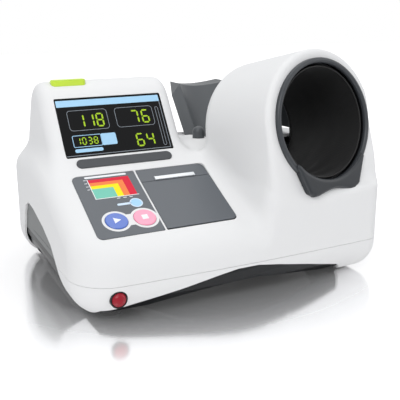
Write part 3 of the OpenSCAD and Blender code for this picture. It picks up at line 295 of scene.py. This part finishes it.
def corner_rect(x0, y0, w, h, left, right, steps=8):
    """A rectangle with its own corner radius on the left and on the right."""
    pts = []
    for cx, cy, r, a0 in ((x0 + w - right, y0 + h - right, right, 0), (x0 + left, y0 + h - left, left, 90),
                          (x0 + left, y0 + left, left, 180), (x0 + w - right, y0 + right, right, 270)):
        for k in range(steps + 1):
            a = math.radians(a0 + 90 * k / steps)
            pts.append((cx + r * math.cos(a), cy + r * math.sin(a)))
    return pts


def round_rect(x0, y0, w, h, r):
    return corner_rect(x0, y0, w, h, r, r)


def rect(x, y, w, h):
    return [(x, y), (x + w, y), (x + w, y + h), (x, y + h)]


def circle(x, y, r, n=48):
    turn = 2 * math.pi / n
    return [(x + r * math.cos(turn * k), y + r * math.sin(turn * k)) for k in range(n)]


def revolve(name, profile, n=128):
    """A closed profile of (radius, along) turned round the tunnel's axis."""
    m = len(profile)
    pts = []
    for k in range(n):
        a = 2 * math.pi * k / n
        pts += [(r * math.sin(a), v, r * math.cos(a)) for r, v in profile]
    faces = []
    for k in range(n):
        for j in range(m):
            a, b = k * m + j, k * m + (j + 1) % m
            c, d = ((k + 1) % n) * m + (j + 1) % m, ((k + 1) % n) * m + j
            faces.append([a, b, c, d])
    return make(name, tunnel(np.array(pts)), faces, True)


def sharp(o, angle=35):
    """Smooth shading with edges kept where faces meet at more than the angle."""
    o.data.shade_smooth()
    o.data.set_sharp_from_angle(angle=math.radians(angle))
    return o


def field_normals(o, field, tolerance=0.12, flat_angle=30):
    """Shading normals taken from the form where the mesh lies on it, and from the faces elsewhere."""
    mesh = o.data
    co = np.empty(len(mesh.vertices) * 3)
    mesh.vertices.foreach_get("co", co)
    co = co.reshape(-1, 3) / MM
    on = np.abs(field(co)) < tolerance
    g = gradient(field, co)
    g /= np.maximum(np.linalg.norm(g, axis=1), 1e-9)[:, None]
    sharp(o, flat_angle)
    corner = np.empty(len(mesh.loops) * 3, np.float32)
    mesh.corner_normals.foreach_get("vector", corner)
    corner = corner.reshape(-1, 3).astype(float)
    loop_vert = np.empty(len(mesh.loops), int)
    mesh.loops.foreach_get("vertex_index", loop_vert)
    start = np.empty(len(mesh.polygons), int)
    total = np.empty(len(mesh.polygons), int)
    mesh.polygons.foreach_get("loop_start", start)
    mesh.polygons.foreach_get("loop_total", total)
    poly_n = np.empty(len(mesh.polygons) * 3)
    mesh.polygons.foreach_get("normal", poly_n)
    poly_n = poly_n.reshape(-1, 3)
    owner = np.repeat(np.arange(len(start)), total)
    near = (g[loop_vert] * poly_n[owner]).sum(1) > 0.9
    use = on[loop_vert] & near
    corner[use] = g[loop_vert][use]
    mesh.normals_split_custom_set(corner.tolist())
    return o


# ---------------------------------------------------------------- materials

def material(name, colour, rough=0.4, metal=0.0, grain=900.0, depth=0.02, mottle=0.04, mottle_scale=14.0,
             rough_var=0.08, coat=0.0, coat_rough=0.05, sheen=0.0, spec=0.5, emit=0.0, edge=0.4):
    """A moulded or painted finish: colour that drifts a little, fine grain in the bump, uneven gloss.

    grain is the bump's noise scale, depth its height in mm, mottle the share by which the colour drifts,
    and edge the radius in mm that sharp corners are shaded with.
    """
    m = bpy.data.materials.new(name)
    m.use_nodes = True
    nt = m.node_tree
    b = nt.nodes["Principled BSDF"]
    b.inputs["Metallic"].default_value = metal
    b.inputs["Specular IOR Level"].default_value = spec
    b.inputs["Coat Weight"].default_value = coat
    b.inputs["Coat Roughness"].default_value = coat_rough
    b.inputs["Sheen Weight"].default_value = sheen
    m.diffuse_color = (*colour, 1)
    at = nt.nodes.new("ShaderNodeTexCoord")
    drift = nt.nodes.new("ShaderNodeTexNoise")
    drift.inputs["Scale"].default_value = mottle_scale
    drift.inputs["Detail"].default_value = 4.0
    nt.links.new(at.outputs["Object"], drift.inputs["Vector"])
    mix = nt.nodes.new("ShaderNodeMix")
    mix.data_type = "RGBA"
    mix.inputs["A"].default_value = (*[c * (1 - mottle) for c in colour], 1)
    mix.inputs["B"].default_value = (*[min(c * (1 + mottle), 1.0) for c in colour], 1)
    nt.links.new(drift.outputs["Fac"], mix.inputs["Factor"])
    nt.links.new(mix.outputs["Result"], b.inputs["Base Color"])
    if emit:
        nt.links.new(mix.outputs["Result"], b.inputs["Emission Color"])
        b.inputs["Emission Strength"].default_value = emit
    fine = nt.nodes.new("ShaderNodeTexNoise")
    fine.inputs["Scale"].default_value = grain
    fine.inputs["Detail"].default_value = 3.0
    nt.links.new(at.outputs["Object"], fine.inputs["Vector"])
    ramp = nt.nodes.new("ShaderNodeMapRange")
    ramp.inputs["To Min"].default_value = max(rough - rough_var, 0.02)
    ramp.inputs["To Max"].default_value = min(rough + rough_var, 1.0)
    nt.links.new(drift.outputs["Fac"], ramp.inputs["Value"])
    nt.links.new(ramp.outputs["Result"], b.inputs["Roughness"])
    bump = nt.nodes.new("ShaderNodeBump")
    bump.inputs["Strength"].default_value = 0.5
    bump.inputs["Distance"].default_value = depth * MM
    nt.links.new(fine.outputs["Fac"], bump.inputs["Height"])
    if edge:
        rounded = nt.nodes.new("ShaderNodeBevel")
        rounded.samples = 6
        rounded.inputs["Radius"].default_value = edge * MM
        nt.links.new(rounded.outputs["Normal"], bump.inputs["Normal"])
    nt.links.new(bump.outputs["Normal"], b.inputs["Normal"])
    return m


def weave(name, colour, pitch=1.1, depth=0.12, rough=0.7, sheen=0.3):
    """Woven cloth: crossing waves of thread, with a slow drift of colour."""
    m = material(name, colour, rough, grain=1600, depth=0.05, mottle=0.18, mottle_scale=30, sheen=sheen)
    nt = m.node_tree
    b = nt.nodes["Principled BSDF"]
    at = nt.nodes.new("ShaderNodeTexCoord")
    height = None
    for axis in ("X", "Z"):
        wave = nt.nodes.new("ShaderNodeTexWave")
        wave.bands_direction = axis
        wave.inputs["Scale"].default_value = 1 / (pitch * MM) / 6.28
        wave.inputs["Distortion"].default_value = 0.6
        nt.links.new(at.outputs["Object"], wave.inputs["Vector"])
        if height is None:
            height = wave.outputs["Fac"]
        else:
            mul = nt.nodes.new("ShaderNodeMath")
            mul.operation = "MULTIPLY"
            nt.links.new(height, mul.inputs[0])
            nt.links.new(wave.outputs["Fac"], mul.inputs[1])
            height = mul.outputs[0]
    bump = nt.nodes.new("ShaderNodeBump")
    bump.inputs["Strength"].default_value = 0.6
    bump.inputs["Distance"].default_value = depth * MM
    nt.links.new(height, bump.inputs["Height"])
    old = b.inputs["Normal"].links[0].from_node
    nt.links.new(old.outputs["Normal"], bump.inputs["Normal"])
    nt.links.new(bump.outputs["Normal"], b.inputs["Normal"])
    return m


def srgb(code):
    """A written colour, as light."""
    v = [int(code[k:k + 2], 16) / 255 for k in (0, 2, 4)]
    return tuple(c / 12.92 if c <= 0.04045 else ((c + 0.055) / 1.055) ** 2.4 for c in v)


WHITE = material("white_abs", srgb("f2f3f3"), 0.26, grain=500, depth=0.008, mottle=0.01, coat=0.3,
                 coat_rough=0.1, edge=0)
SLATE = material("slate_abs", srgb("3a3d41"), 0.36, grain=700, depth=0.02, mottle=0.06, spec=0.35, edge=1.2)
BASE = material("base_slate", srgb("141619"), 0.36, grain=800, depth=0.01, mottle=0.06, spec=0.3, edge=1.5)
# The ring's slate plastic, made darker for the lip: painted shade on the lip.
SHADED_SLATE = material("slate_abs_painted_shade", srgb("2c2f33"), 0.34, grain=700, depth=0.02, mottle=0.06, spec=0.35, edge=1.2)
REST = material("rest_grey", srgb("505356"), 0.42, grain=900, depth=0.05, mottle=0.05, spec=0.35, edge=2.0)
PANEL = material("panel_grey", srgb("5f6368"), 0.4, grain=1100, depth=0.02, mottle=0.04, spec=0.3)
COVER = material("cover_grey", srgb("707272"), 0.45, grain=900, depth=0.03, mottle=0.05, spec=0.35, edge=0.8)
BLACK = material("black_plastic", srgb("141517"), 0.35, grain=800, depth=0.03, mottle=0.1, spec=0.4)
RUBBER = material("black_rubber", srgb("1c1d1f"), 0.75, grain=600, depth=0.08, mottle=0.15, spec=0.3)
GLASS = material("display_lens", srgb("07080a"), 0.12, grain=300, depth=0.0, mottle=0.1, rough_var=0.03,
                 spec=0.18, edge=0.3)
BOARD = material("circuit_board", srgb("1d5c38"), 0.4, grain=1500, depth=0.05, mottle=0.12, mottle_scale=60)
STEEL = material("brushed_steel", srgb("b4b7bb"), 0.38, metal=1.0, grain=1400, depth=0.02, mottle=0.05)
TEAR = material("tear_steel", srgb("d4d7da"), 0.42, metal=0.6, grain=1400, depth=0.01, mottle=0.03, spec=0.3)
BLUE = material("start_blue", srgb("4a6cc0"), 0.3, grain=800, depth=0.015, mottle=0.05, coat=0.3)
PINK = material("stop_pink", srgb("f79ab5"), 0.3, grain=800, depth=0.015, mottle=0.04, coat=0.3)
LIME = material("key_lime", srgb("c8e63c"), 0.32, grain=700, depth=0.015, mottle=0.04, coat=0.3)
RED = material("stop_red", srgb("940620"), 0.3, grain=600, depth=0.015, mottle=0.08, spec=0.35)
PAPER = material("paper_white", srgb("f2f1ec"), 0.85, grain=2500, depth=0.03, mottle=0.02)
CLOTH = weave("cuff_cloth", srgb("0b0b0c"), pitch=0.9, rough=0.65, sheen=0.05)
INK_LIME = material("lit_lime", srgb("a3c430"), 0.5, mottle=0.03, spec=0.1, emit=0.12, edge=0)
INK_SKY = material("ink_sky", srgb("a8d3f0"), 0.5, mottle=0.02, spec=0.2, edge=0)
INK_LINE = material("ink_line", srgb("868d94"), 0.5, mottle=0.03, spec=0.2, edge=0)
INK_WHITE = material("ink_white", srgb("eef0f3"), 0.5, mottle=0.02, spec=0.2, edge=0)
INK_PALE = material("ink_pale_blue", srgb("d3e5f8"), 0.45, mottle=0.02, spec=0.3, edge=0)
INK_RED = material("ink_red", srgb("d9203c"), 0.5, mottle=0.03, spec=0.2, edge=0)
INK_ORANGE = material("ink_orange", srgb("f08448"), 0.5, mottle=0.03, spec=0.2, edge=0)
INK_YELLOW = material("ink_yellow", srgb("f6e712"), 0.5, mottle=0.03, spec=0.2, edge=0)
INK_TEAL = material("ink_teal", srgb("79c6b2"), 0.5, mottle=0.03, spec=0.2, edge=0)
BLADDER = material("bladder_rubber", srgb("2b2c2f"), 0.6, grain=500, depth=0.05)
HOSE = material("hose_grey", srgb("bdbdb6"), 0.5, grain=700, depth=0.03)
BEIGE = material("sensor_beige", srgb("d6d3c4"), 0.5, grain=900, depth=0.03)
YELLOW_TAPE = material("coil_yellow", srgb("dcc23c"), 0.5, grain=900, depth=0.03)


def paint(material_, *names):
    """A better material for CAD nodes whose shape stays."""
    for n in names:
        o = nodes[n]
        o.data.materials.clear()
        o.data.materials.append(material_)
        sharp(o, 30)


paint(BASE, "base_chassis")
paint(COVER, "side_cover_left", "side_cover_right")
paint(RUBBER, "rubber_feet", "platen_roller")
paint(TEAR, "tear_bar")
paint(STEEL, "housing_screws", "hinge_pin", "thermal_head", "platen_shaft", "air_pump", "exhaust_valve",
      "key_switches")
paint(GLASS, "display_window")
paint(BLACK, "display_bezel", "digit_modules", "top_key_switch", "emergency_stop_collar",
      "emergency_switch_block", "paper_spindle", "printer_bay", "tunnel_liner", "elbow_switch_sensor",
      "board_parts", "pump_cradle",
      "quick_release_valve", "rear_panel", "power_inlet", "switch_body", "power_rocker", "fuse_holder",
      "data_port", "speaker")
paint(BOARD, "display_board", "keypad_board", "main_board", "power_supply")
paint(PANEL, "control_panel", "printer_cover", "printer_frame")
paint(SLATE, "name_strip", "front_ring", "rear_ring")
paint(BLUE, "start_button")
paint(PINK, "stop_button")
paint(LIME, "top_key")
paint(RED, "emergency_stop_button")
paint(PAPER, "paper_roll")
paint(REST, "elbow_rest", "elbow_switch")
paint(BEIGE, "pressure_sensor")
paint(HOSE, "air_tubes")
paint(YELLOW_TAPE, "power_supply_parts")


def dress(o, mat, node):
    """A new piece on the console that stands for a CAD node."""
    o.data.materials.append(mat)
    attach(o, "console")
    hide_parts(node)


# ---------------------------------------------------------------- white shells

FIT = 0.3                # gap round a panel or a ring in its opening
FAR = 300                # past the housing on every side
TUNNEL_BACK = DRUM_LEN + 1
WINDOW = (-182.5, 12.4, 153.0, 87.0)
KEY_X, KEY_W, PRINT_X, PRINT_W, PANEL_S, PANEL_LEN = -186.0, 85.0, -98.0, 99.0, 26.0, 117.0
PANEL_CORNER, JOIN_CORNER = 8.2, 1.4
TOP_KEY, TOP_KEY_SIZE = (-155.5, 33.0), (48.0, 14.0)
EMERGENCY, EMERGENCY_HOLE = (-172.7, 33.3), 10.9
ELBOW_SWITCH, ELBOW_HOLE = (40.5, 24.0), 9.4


def shell(name, field, end, lo, hi, step, inner_step):
    """The outer form, and the same form a wall further in, each closed past the parting line by end."""
    v, f = isosurface(lambda p: np.maximum(field(p), end(p[..., 2], 0)), lo, hi, step)
    outer = make(name, v, f)
    v, f = isosurface(lambda p: np.maximum(field(p) + WALL, end(p[..., 2], 3)), lo, hi, inner_step)
    inner = make(name + "_inside", v, f)
    return outer, inner


def slab(name, z0, z1):
    return prism(name, rect(-FAR, -FAR, 2 * FAR, 2 * FAR), z0, z1)


def along_x(name, outline, x0, x1):
    return prism(name, outline, x0, x1, lambda p: p[:, [2, 0, 1]])


def side_arches(depth):
    """Cutters for the arch on either side, to a depth from the widest point."""
    return [along_x("c", SIDE_ARCH, -FAR, -HALF_W + depth), along_x("c", SIDE_ARCH, HALF_W - depth, FAR)]


def along_y(name, outline, y0, y1):
    return prism(name, outline, y0, y1, lambda p: p[:, [0, 2, 1]] * np.array([1, -1, 1]))


def along_tunnel(name, outline, v0, v1):
    return prism(name, outline, v0, v1, lambda p: tunnel(p[:, [0, 2, 1]]))


upper, inside = shell("white_upper_shell", upper_field, lambda z, more: 42 - more - z,
                      (-226, -212, 32), (226, 160, 322), 3.2, 5.0)
ring_cut = along_tunnel("c", circle(0, 0, HOLE_R, 96), -30, TUNNEL_BACK)
slot_cut = along_tunnel("c", circle(0, 0, RING_R + 0.4, 96), DRUM_LEN, DRUM_LEN + 8.3)
lean_cut = along_tunnel("c", circle(0, 0, RING_R + FIT, 96), -30, RING_PROUD)
cut(upper, [inside, slab("c", -50, PARTING_Z), ring_cut, slot_cut, lean_cut])
well = prism("c", rect(REST_X - 55.3, -60, 110.6, 173), 90, 210)
cut(well, [prism("c", rect(-200, -FAR, 400, FAR + TUNNEL_BACK), -FAR, FAR, tunnel)])


def opening(x, s, w, h, gap, left, right, n0, n1, place):
    """A cutter for a panel of the given place and size, with a gap all round."""
    return prism("c", corner_rect(x - gap, s - gap, w + 2 * gap, h + 2 * gap, left, right), n0, n1, place)


cut(upper, [
    well,
    opening(*WINDOW, 0.4, 2.3, 2.3, -20, 30, on_display),
    opening(KEY_X, PANEL_S, KEY_W, PANEL_LEN, FIT, PANEL_CORNER, JOIN_CORNER, -30, 30, on_slope),
    opening(PRINT_X, PANEL_S, PRINT_W, PANEL_LEN, FIT, JOIN_CORNER, PANEL_CORNER, -30, 30, on_slope),
    opening(TOP_KEY[0] - TOP_KEY_SIZE[0] / 2, TOP_KEY[1] - TOP_KEY_SIZE[1] / 2, *TOP_KEY_SIZE, 0.4, 5.4, 5.4,
            200, 290, lambda p: p),
    prism("c", round_rect(WINDOW[0] + 9.8, -7.2, 135.4, 14.4, 7.2), 4.4, 30, on_fold),
    prism("c", circle(*ELBOW_SWITCH, ELBOW_HOLE), 120, 200),
    along_y("c", round_rect(-150.3, 59.7, 118.6, 42.6, 4), -BACK_Y - 20, -BACK_Y + 14),
] + side_arches(12))
field_normals(upper, upper_field)
dress(upper, WHITE, "upper_housing")

lower, inside = shell("white_lower_shell", lower_field, lambda z, more: z - 56 - more,
                      (-226, -212, -8), (226, 160, 66), 3.2, 4.4)
cut(lower, [
    inside, slab("c", PARTING_Z - 0.5, 90),
    prism("c", round_rect(30 - HALF_W, MID_Y - HALF_D + 30, 2 * HALF_W - 60, 2 * HALF_D - 60, 12), -20, 29),
    along_y("c", FRONT_ARCH, -BACK_Y - 20, FRONT_Y + 20),
    along_y("c", circle(*EMERGENCY, EMERGENCY_HOLE), 120, 240),
] + side_arches(60))
field_normals(lower, lower_field)
dress(lower, WHITE, "lower_housing")

# ---------------------------------------------------------------- arm lip, cuff and bladder

def segment_field(x, y, a, b, ra, rb):
    """Distance to a bar with round ends of two radii."""
    dx, dy = b[0] - a[0], b[1] - a[1]
    t = np.clip(((x - a[0]) * dx + (y - a[1]) * dy) / (dx * dx + dy * dy), 0, 1)
    return np.hypot(x - a[0] - t * dx, y - a[1] - t * dy) - (ra + (rb - ra) * t)


def lip_field(p):
    """The saddle below the mouth, in the tunnel's frame, with every edge rounded over."""
    x, v, y = p[..., 0], p[..., 1], p[..., 2]
    lobe = segment_field(np.abs(x), y, (35, -75.5), (57.5, -53), 18, 5)
    bar = np.maximum(np.abs(x) - 38, np.abs(y + 81.5) - 12)
    outline = smin(lobe, bar, 6)
    outline = smax(outline, 60 - np.hypot(x, y + 149.5), 3)
    outline = smax(outline, 75.5 - np.hypot(x, y), 4)
    front = smax(outline, -4 - v, 5)
    front = np.maximum(front, v - RING_PROUD + 0.1)
    return np.maximum(front, np.minimum(RING_R + 0.2 - np.hypot(x, y), v + 0.2))


lip_verts, lip_faces = isosurface(lip_field, (-68, -7, -100), (68, 10, -42), 1.3)
lip = make("moulded_arm_lip", tunnel(lip_verts), lip_faces)
sharp(lip, 40)
dress(lip, SHADED_SLATE, "arm_lip")


CLOTH_R, HEM_R = 73.3, 73.2
CLOTH_V0, CLOTH_V1 = 7.4, 148.4
COLUMNS, ROWS = 220, 70


def cuff_radius(a, v):
    """Radius of the cloth: taut round the top, with slack folds lying in the bottom of the tunnel."""
    low = np.clip((np.cos(a - math.pi) - 0.1) / 0.9, 0, 1) ** 1.5
    middle = np.sin(math.pi * np.clip((v - 8) / 138, 0, 1)) ** 0.5
    folds = 1.6 * np.sin(5.5 * a + 0.035 * v) + 1.2 * np.sin(0.10 * v + 3.0 * a)
    folds = folds + 0.7 * np.sin(0.21 * v - 7.0 * a)
    return CLOTH_R - middle * (low * (2.6 + folds) + 0.3 + 0.08 * np.sin(0.2 * v + 0.4 * np.sin(3 * a)))


angle, along = np.meshgrid(np.linspace(0, 2 * math.pi, COLUMNS, endpoint=False),
                           np.linspace(CLOTH_V0, CLOTH_V1, ROWS))
radius = cuff_radius(angle, along)
pts = np.stack([radius * np.sin(angle), along, radius * np.cos(angle)], -1).reshape(-1, 3)
quads = []
for j in range(ROWS - 1):
    for i in range(COLUMNS):
        near, far = j * COLUMNS, (j + 1) * COLUMNS
        after = (i + 1) % COLUMNS
        quads.append([near + i, far + i, far + after, near + after])
cloth = make("cuff_cloth_tube", tunnel(pts), quads, True)
dress(cloth, CLOTH, "cuff_sleeve")
bead_angles = np.linspace(0, 2 * math.pi, 10, endpoint=False)
for k, v0 in enumerate((CLOTH_V0 + 0.5, CLOTH_V1 - 0.5)):
    bead = [(HEM_R + math.cos(t), v0 + 0.9 * math.sin(t)) for t in bead_angles]
    hem = revolve("cuff_hem_%d" % k, bead)
    hem.data.materials.append(CLOTH)
    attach(hem, "console")

bladder = revolve("air_bladder", [(78.5, 13), (78.5, 143), (77.6, 144), (76.2, 143), (75.7, 120), (75.5, 78),
                                  (75.7, 36), (76.2, 13.6), (77.6, 12.4)])
nozzle = prism("bladder_nozzle", circle(0, 60, 3.5, 24), -87.2, -78, tunnel)
for o in (bladder, nozzle):
    sharp(o, 30)
    dress(o, BLADDER, "cuff_bladder")

# ---------------------------------------------------------------- printed and lit graphics

def ink(name, mat, outlines, n0, n1, place, body="console"):
    """Flat shapes of one colour, raised by a film's thickness, as one piece. A pair of outlines is a band."""
    verts, faces = [], []
    for outline in outlines:
        if isinstance(outline, tuple):
            outer, inner = outline
            n = len(outer)
            base = len(verts)
            for z in (n0, n1):
                verts += [(x, y, z) for x, y in outer]
                verts += [(x, y, z) for x, y in inner]
            for k in range(n):
                j = (k + 1) % n
                lo_o, lo_i, hi_o, hi_i = base, base + n, base + 2 * n, base + 3 * n
                faces += [[hi_o + k, hi_o + j, hi_i + j, hi_i + k], [lo_o + j, lo_o + k, lo_i + k, lo_i + j],
                          [lo_o + k, lo_o + j, hi_o + j, hi_o + k], [lo_i + j, lo_i + k, hi_i + k, hi_i + j]]
        else:
            n = len(outline)
            base = len(verts)
            turned = outline[1:] + outline[:1]
            twice_area = sum(p[0] * q[1] - q[0] * p[1] for p, q in zip(outline, turned))
            loop = outline if twice_area > 0 else outline[::-1]
            verts += [(x, y, z) for z in (n0, n1) for x, y in loop]
            faces += [[base + k for k in range(n)][::-1], [base + n + k for k in range(n)]]
            faces += [[base + k, base + (k + 1) % n, base + n + (k + 1) % n, base + n + k] for k in range(n)]
    o = make(name, place(np.array(verts, float)), faces)
    o.data.materials.append(mat)
    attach(o, body)
    return o


def stroke(x, y, w, h, r, t):
    """A rounded outline of thickness t."""
    return round_rect(x, y, w, h, r), round_rect(x + t, y + t, w - 2 * t, h - 2 * t, max(r - t, 0.2))


SEGMENTS = {"0": "abcdef", "1": "bc", "2": "abged", "3": "abgcd", "4": "fgbc", "5": "afgcd", "6": "afgedc",
            "7": "abc", "8": "abcdefg", "9": "abcdfg"}


def digits(text, x, y, w, h, pitch, t):
    """Bars of seven-segment digits."""
    out = []
    gap = 0.25 * t
    for k, c in enumerate(text):
        x0, x1 = x + k * pitch + t / 2, x + k * pitch + w - t / 2
        y0, y1, y2 = y + t / 2, y + h / 2, y + h - t / 2
        ends = {"a": (x0, y2, x1, y2), "b": (x1, y1, x1, y2), "c": (x1, y0, x1, y1), "d": (x0, y0, x1, y0),
                "e": (x0, y0, x0, y1), "f": (x0, y1, x0, y2), "g": (x0, y1, x1, y1)}
        for seg in SEGMENTS.get(c, ""):
            ax, ay, bx, by = ends[seg]
            length = math.hypot(bx - ax, by - ay)
            ux, uy = (bx - ax) / length, (by - ay) / length
            shape = [(gap, 0), (gap + t / 2, t / 2), (length - gap - t / 2, t / 2), (length - gap, 0),
                     (length - gap - t / 2, -t / 2), (gap + t / 2, -t / 2)]
            out.append([(ax + ux * p - uy * q, ay + uy * p + ux * q) for p, q in shape])
    return out


ink("lit_digits", INK_LIME,
    digits("118", -157.6, 54.9, 10.6, 20.2, 13.5, 2.1) + digits("76", -80.0, 54.9, 11.2, 20.6, 15.4, 2.2)
    + digits("1038", -164.6, 30.3, 6.0, 10.8, 8.1, 1.4) + digits("64", -80.4, 20.4, 11.2, 19.8, 15.4, 2.2),
    0.0, 0.2, on_display)
ink("lens_sky_print", INK_SKY,
    [round_rect(-181.2, 86.8, 148.6, 9.6, 0.8), round_rect(-129.6, 27.4, 21.2, 17, 2),
     round_rect(-168.8, 19.8, 38.8, 5.0, 2.4), stroke(-169.2, 27.2, 40, 17.2, 2, 0.8)],
    0.0, 0.2, on_display)
ink("lens_line_print", INK_LINE,
    [stroke(-169.5, 51, 56, 30, 5, 0.7), stroke(-102.5, 51, 56, 29.8, 5, 0.7),
     stroke(-42.0, 19, 4.8, 59.5, 2.3, 0.7), rect(-33.4, 15.2, 0.9, 71.4), rect(-181.4, 15.2, 147.8, 0.9)],
    0.0, 0.2, on_display)

CHART_X, CHART_S, CHART_W, CHART_H = -166.5, 97.0, 55.0, 37.5
FILM, FILM_TOP, ZONE_STEP = 0.6, 0.75, 0.08
KEY_TOP, SYMBOL_TOP = 2.1, 2.5
ICON = (-119.0, 81.2)
START, STOP = (-155.0, 52.8), (-118.5, 52.0)
BORDER_R, KEY_HOLE_R = 18.0, 14.6

zones = ((INK_RED, 1, 1), (INK_ORANGE, 0.82, 0.83), (INK_YELLOW, 0.67, 0.66), (INK_TEAL, 0.516, 0.5))
for k, (mat, share_x, share_s) in enumerate(zones):
    ink("chart_zone_%d" % k, mat, [rect(CHART_X, CHART_S, CHART_W * share_x, CHART_H * share_s)],
        FILM + ZONE_STEP * k, FILM + ZONE_STEP * (k + 1), on_slope)
ticks = [rect(CHART_X - 5.6, CHART_S + CHART_H * f - 0.5, 3.4, 1.0) for f in (0.5, 0.66, 0.83, 1.0)]
ticks += [rect(CHART_X + CHART_W * f - 2.2, CHART_S - 4.0, 4.4, 1.1) for f in (0.516, 0.67, 0.82)]
ink("panel_white_print", INK_WHITE,
    [round_rect(-169.3, 137.4, 56.8, 3.6, 1.8), rect(CHART_X - 1, CHART_S - 1, 1, CHART_H + 2),
     rect(CHART_X, CHART_S - 1, CHART_W + 2, 1)] + ticks, FILM, FILM_TOP, on_slope)
ink("panel_sky_print", INK_PALE,
    [round_rect(-144.2, 79.6, 19, 3.8, 1.9), (circle(*ICON, 8.4), circle(*ICON, 6.8))],
    FILM, FILM_TOP, on_slope)
ink("panel_icon", INK_SKY, [circle(*ICON, 6.7)], FILM, FILM_TOP, on_slope)

border = prism("key_border", circle(*START, BORDER_R, 64), FILM, FILM_TOP, on_slope)
cut(border, [prism("c", circle(*STOP, BORDER_R, 64), FILM, FILM_TOP, on_slope),
             prism("c", rect(START[0], 42.6, STOP[0] - START[0], 19.6), FILM, FILM_TOP, on_slope)], "UNION")
cut(border, [prism("c", circle(*centre, KEY_HOLE_R, 64), -5, 8, on_slope) for centre in (START, STOP)])
border.data.materials.append(INK_PALE)
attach(border, "console")
arrow = [(START[0] - 3.4, START[1] - 5), (START[0] + 5.6, START[1]), (START[0] - 3.4, START[1] + 5)]
ink("start_symbol", INK_WHITE, [arrow], KEY_TOP, SYMBOL_TOP, on_slope, "start_key")
square = rect(STOP[0] - 4, STOP[1] - 4, 8, 8)
ink("stop_symbol", INK_WHITE, [square], KEY_TOP, SYMBOL_TOP, on_slope, "stop_key")

# ---------------------------------------------------------------- stage and light

FLOOR_HALF, FLOOR_Z = 4000, -0.3
# The same reach sets where the floor's camera-only glow fades out towards the object, so the floor is left
# darker round it: painted shade.
GLOSS_AND_PAINTED_SHADE_REACH = (0.32, 0.28)     # metres across and along, where the floor's gloss starts to fade

floor_square = rect(-FLOOR_HALF, -FLOOR_HALF, 2 * FLOOR_HALF, 2 * FLOOR_HALF)
floor = make("floor", [(x, y, FLOOR_Z) for x, y in floor_square], [[0, 1, 2, 3]])
floor_mat = bpy.data.materials.new("floor_white")
floor_mat.use_nodes = True
nt = floor_mat.node_tree
b = nt.nodes["Principled BSDF"]
b.inputs["Base Color"].default_value = (0.95, 0.95, 0.96, 1)
b.inputs["Roughness"].default_value = 0.16
b.inputs["Emission Color"].default_value = (1, 1, 1, 1)
seen_by = nt.nodes.new("ShaderNodeLightPath")
spot = nt.nodes.new("ShaderNodeNewGeometry")
squeeze = nt.nodes.new("ShaderNodeVectorMath")
squeeze.operation = "MULTIPLY"
squeeze.inputs[1].default_value = (1 / GLOSS_AND_PAINTED_SHADE_REACH[0], 1 / GLOSS_AND_PAINTED_SHADE_REACH[1], 0)
nt.links.new(spot.outputs["Position"], squeeze.inputs[0])
away = nt.nodes.new("ShaderNodeVectorMath")
away.operation = "LENGTH"
nt.links.new(squeeze.outputs[0], away.inputs[0])


def floor_fade(near, far):
    """A value that runs from near under the object to far away from it."""
    fade = nt.nodes.new("ShaderNodeMapRange")
    fade.interpolation_type = "SMOOTHSTEP"
    for socket, value in zip(fade.inputs[1:5], (0.75, 1.75, near, far)):
        socket.default_value = value
    nt.links.new(away.outputs["Value"], fade.inputs[0])
    return fade.outputs[0]


nt.links.new(floor_fade(0.78, 0.25), b.inputs["Metallic"])
# The floor's glow is seen only by the camera and is almost nothing round the object: painted shade on the
# floor round the object.
glow_with_painted_shade = nt.nodes.new("ShaderNodeMath")
glow_with_painted_shade.operation = "MULTIPLY"
nt.links.new(seen_by.outputs["Is Camera Ray"], glow_with_painted_shade.inputs[0])
nt.links.new(floor_fade(0.04, 0.6), glow_with_painted_shade.inputs[1])
nt.links.new(glow_with_painted_shade.outputs[0], b.inputs["Emission Strength"])
floor.data.materials.append(floor_mat)

scene = bpy.context.scene
scene.view_settings.view_transform = "Standard"
world = bpy.data.worlds.new("world")
scene.world = world
world.use_nodes = True
nt = world.node_tree
background = nt.nodes["Background"]
background.inputs["Color"].default_value = (0.95, 0.97, 1.0, 1)
background.inputs["Strength"].default_value = 0.5
seen = nt.nodes.new("ShaderNodeBackground")
seen.inputs["Color"].default_value = (1, 1, 1, 1)
seen.inputs["Strength"].default_value = 1.0
path = nt.nodes.new("ShaderNodeLightPath")
either = nt.nodes.new("ShaderNodeMath")
either.operation = "MAXIMUM"
nt.links.new(path.outputs["Is Camera Ray"], either.inputs[0])
nt.links.new(path.outputs["Is Glossy Ray"], either.inputs[1])
blend_world = nt.nodes.new("ShaderNodeMixShader")
nt.links.new(either.outputs[0], blend_world.inputs[0])
nt.links.new(background.outputs[0], blend_world.inputs[1])
nt.links.new(seen.outputs[0], blend_world.inputs[2])
nt.links.new(blend_world.outputs[0], nt.nodes["World Output"].inputs["Surface"])


def area(name, place, target, size, power):
    data = bpy.data.lights.new(name, "AREA")
    data.shape = "RECTANGLE"
    data.size, data.size_y = size
    data.energy = power
    o = bpy.data.objects.new(name, data)
    scene.collection.objects.link(o)
    o.location = place
    o.rotation_mode = "QUATERNION"
    o.rotation_quaternion = (Vector(target) - Vector(place)).to_track_quat("-Z", "Y")
    return o


area("key_light", (-1.2, -1.4, 1.7), (0, 0, 0.12), (1.4, 1.0), 23)
area("top_light", (0.2, 0.3, 2.0), (0, 0, 0.1), (1.8, 1.8), 14)
area("fill_light", (1.7, -1.0, 1.0), (0, 0, 0.15), (1.2, 1.2), 6)
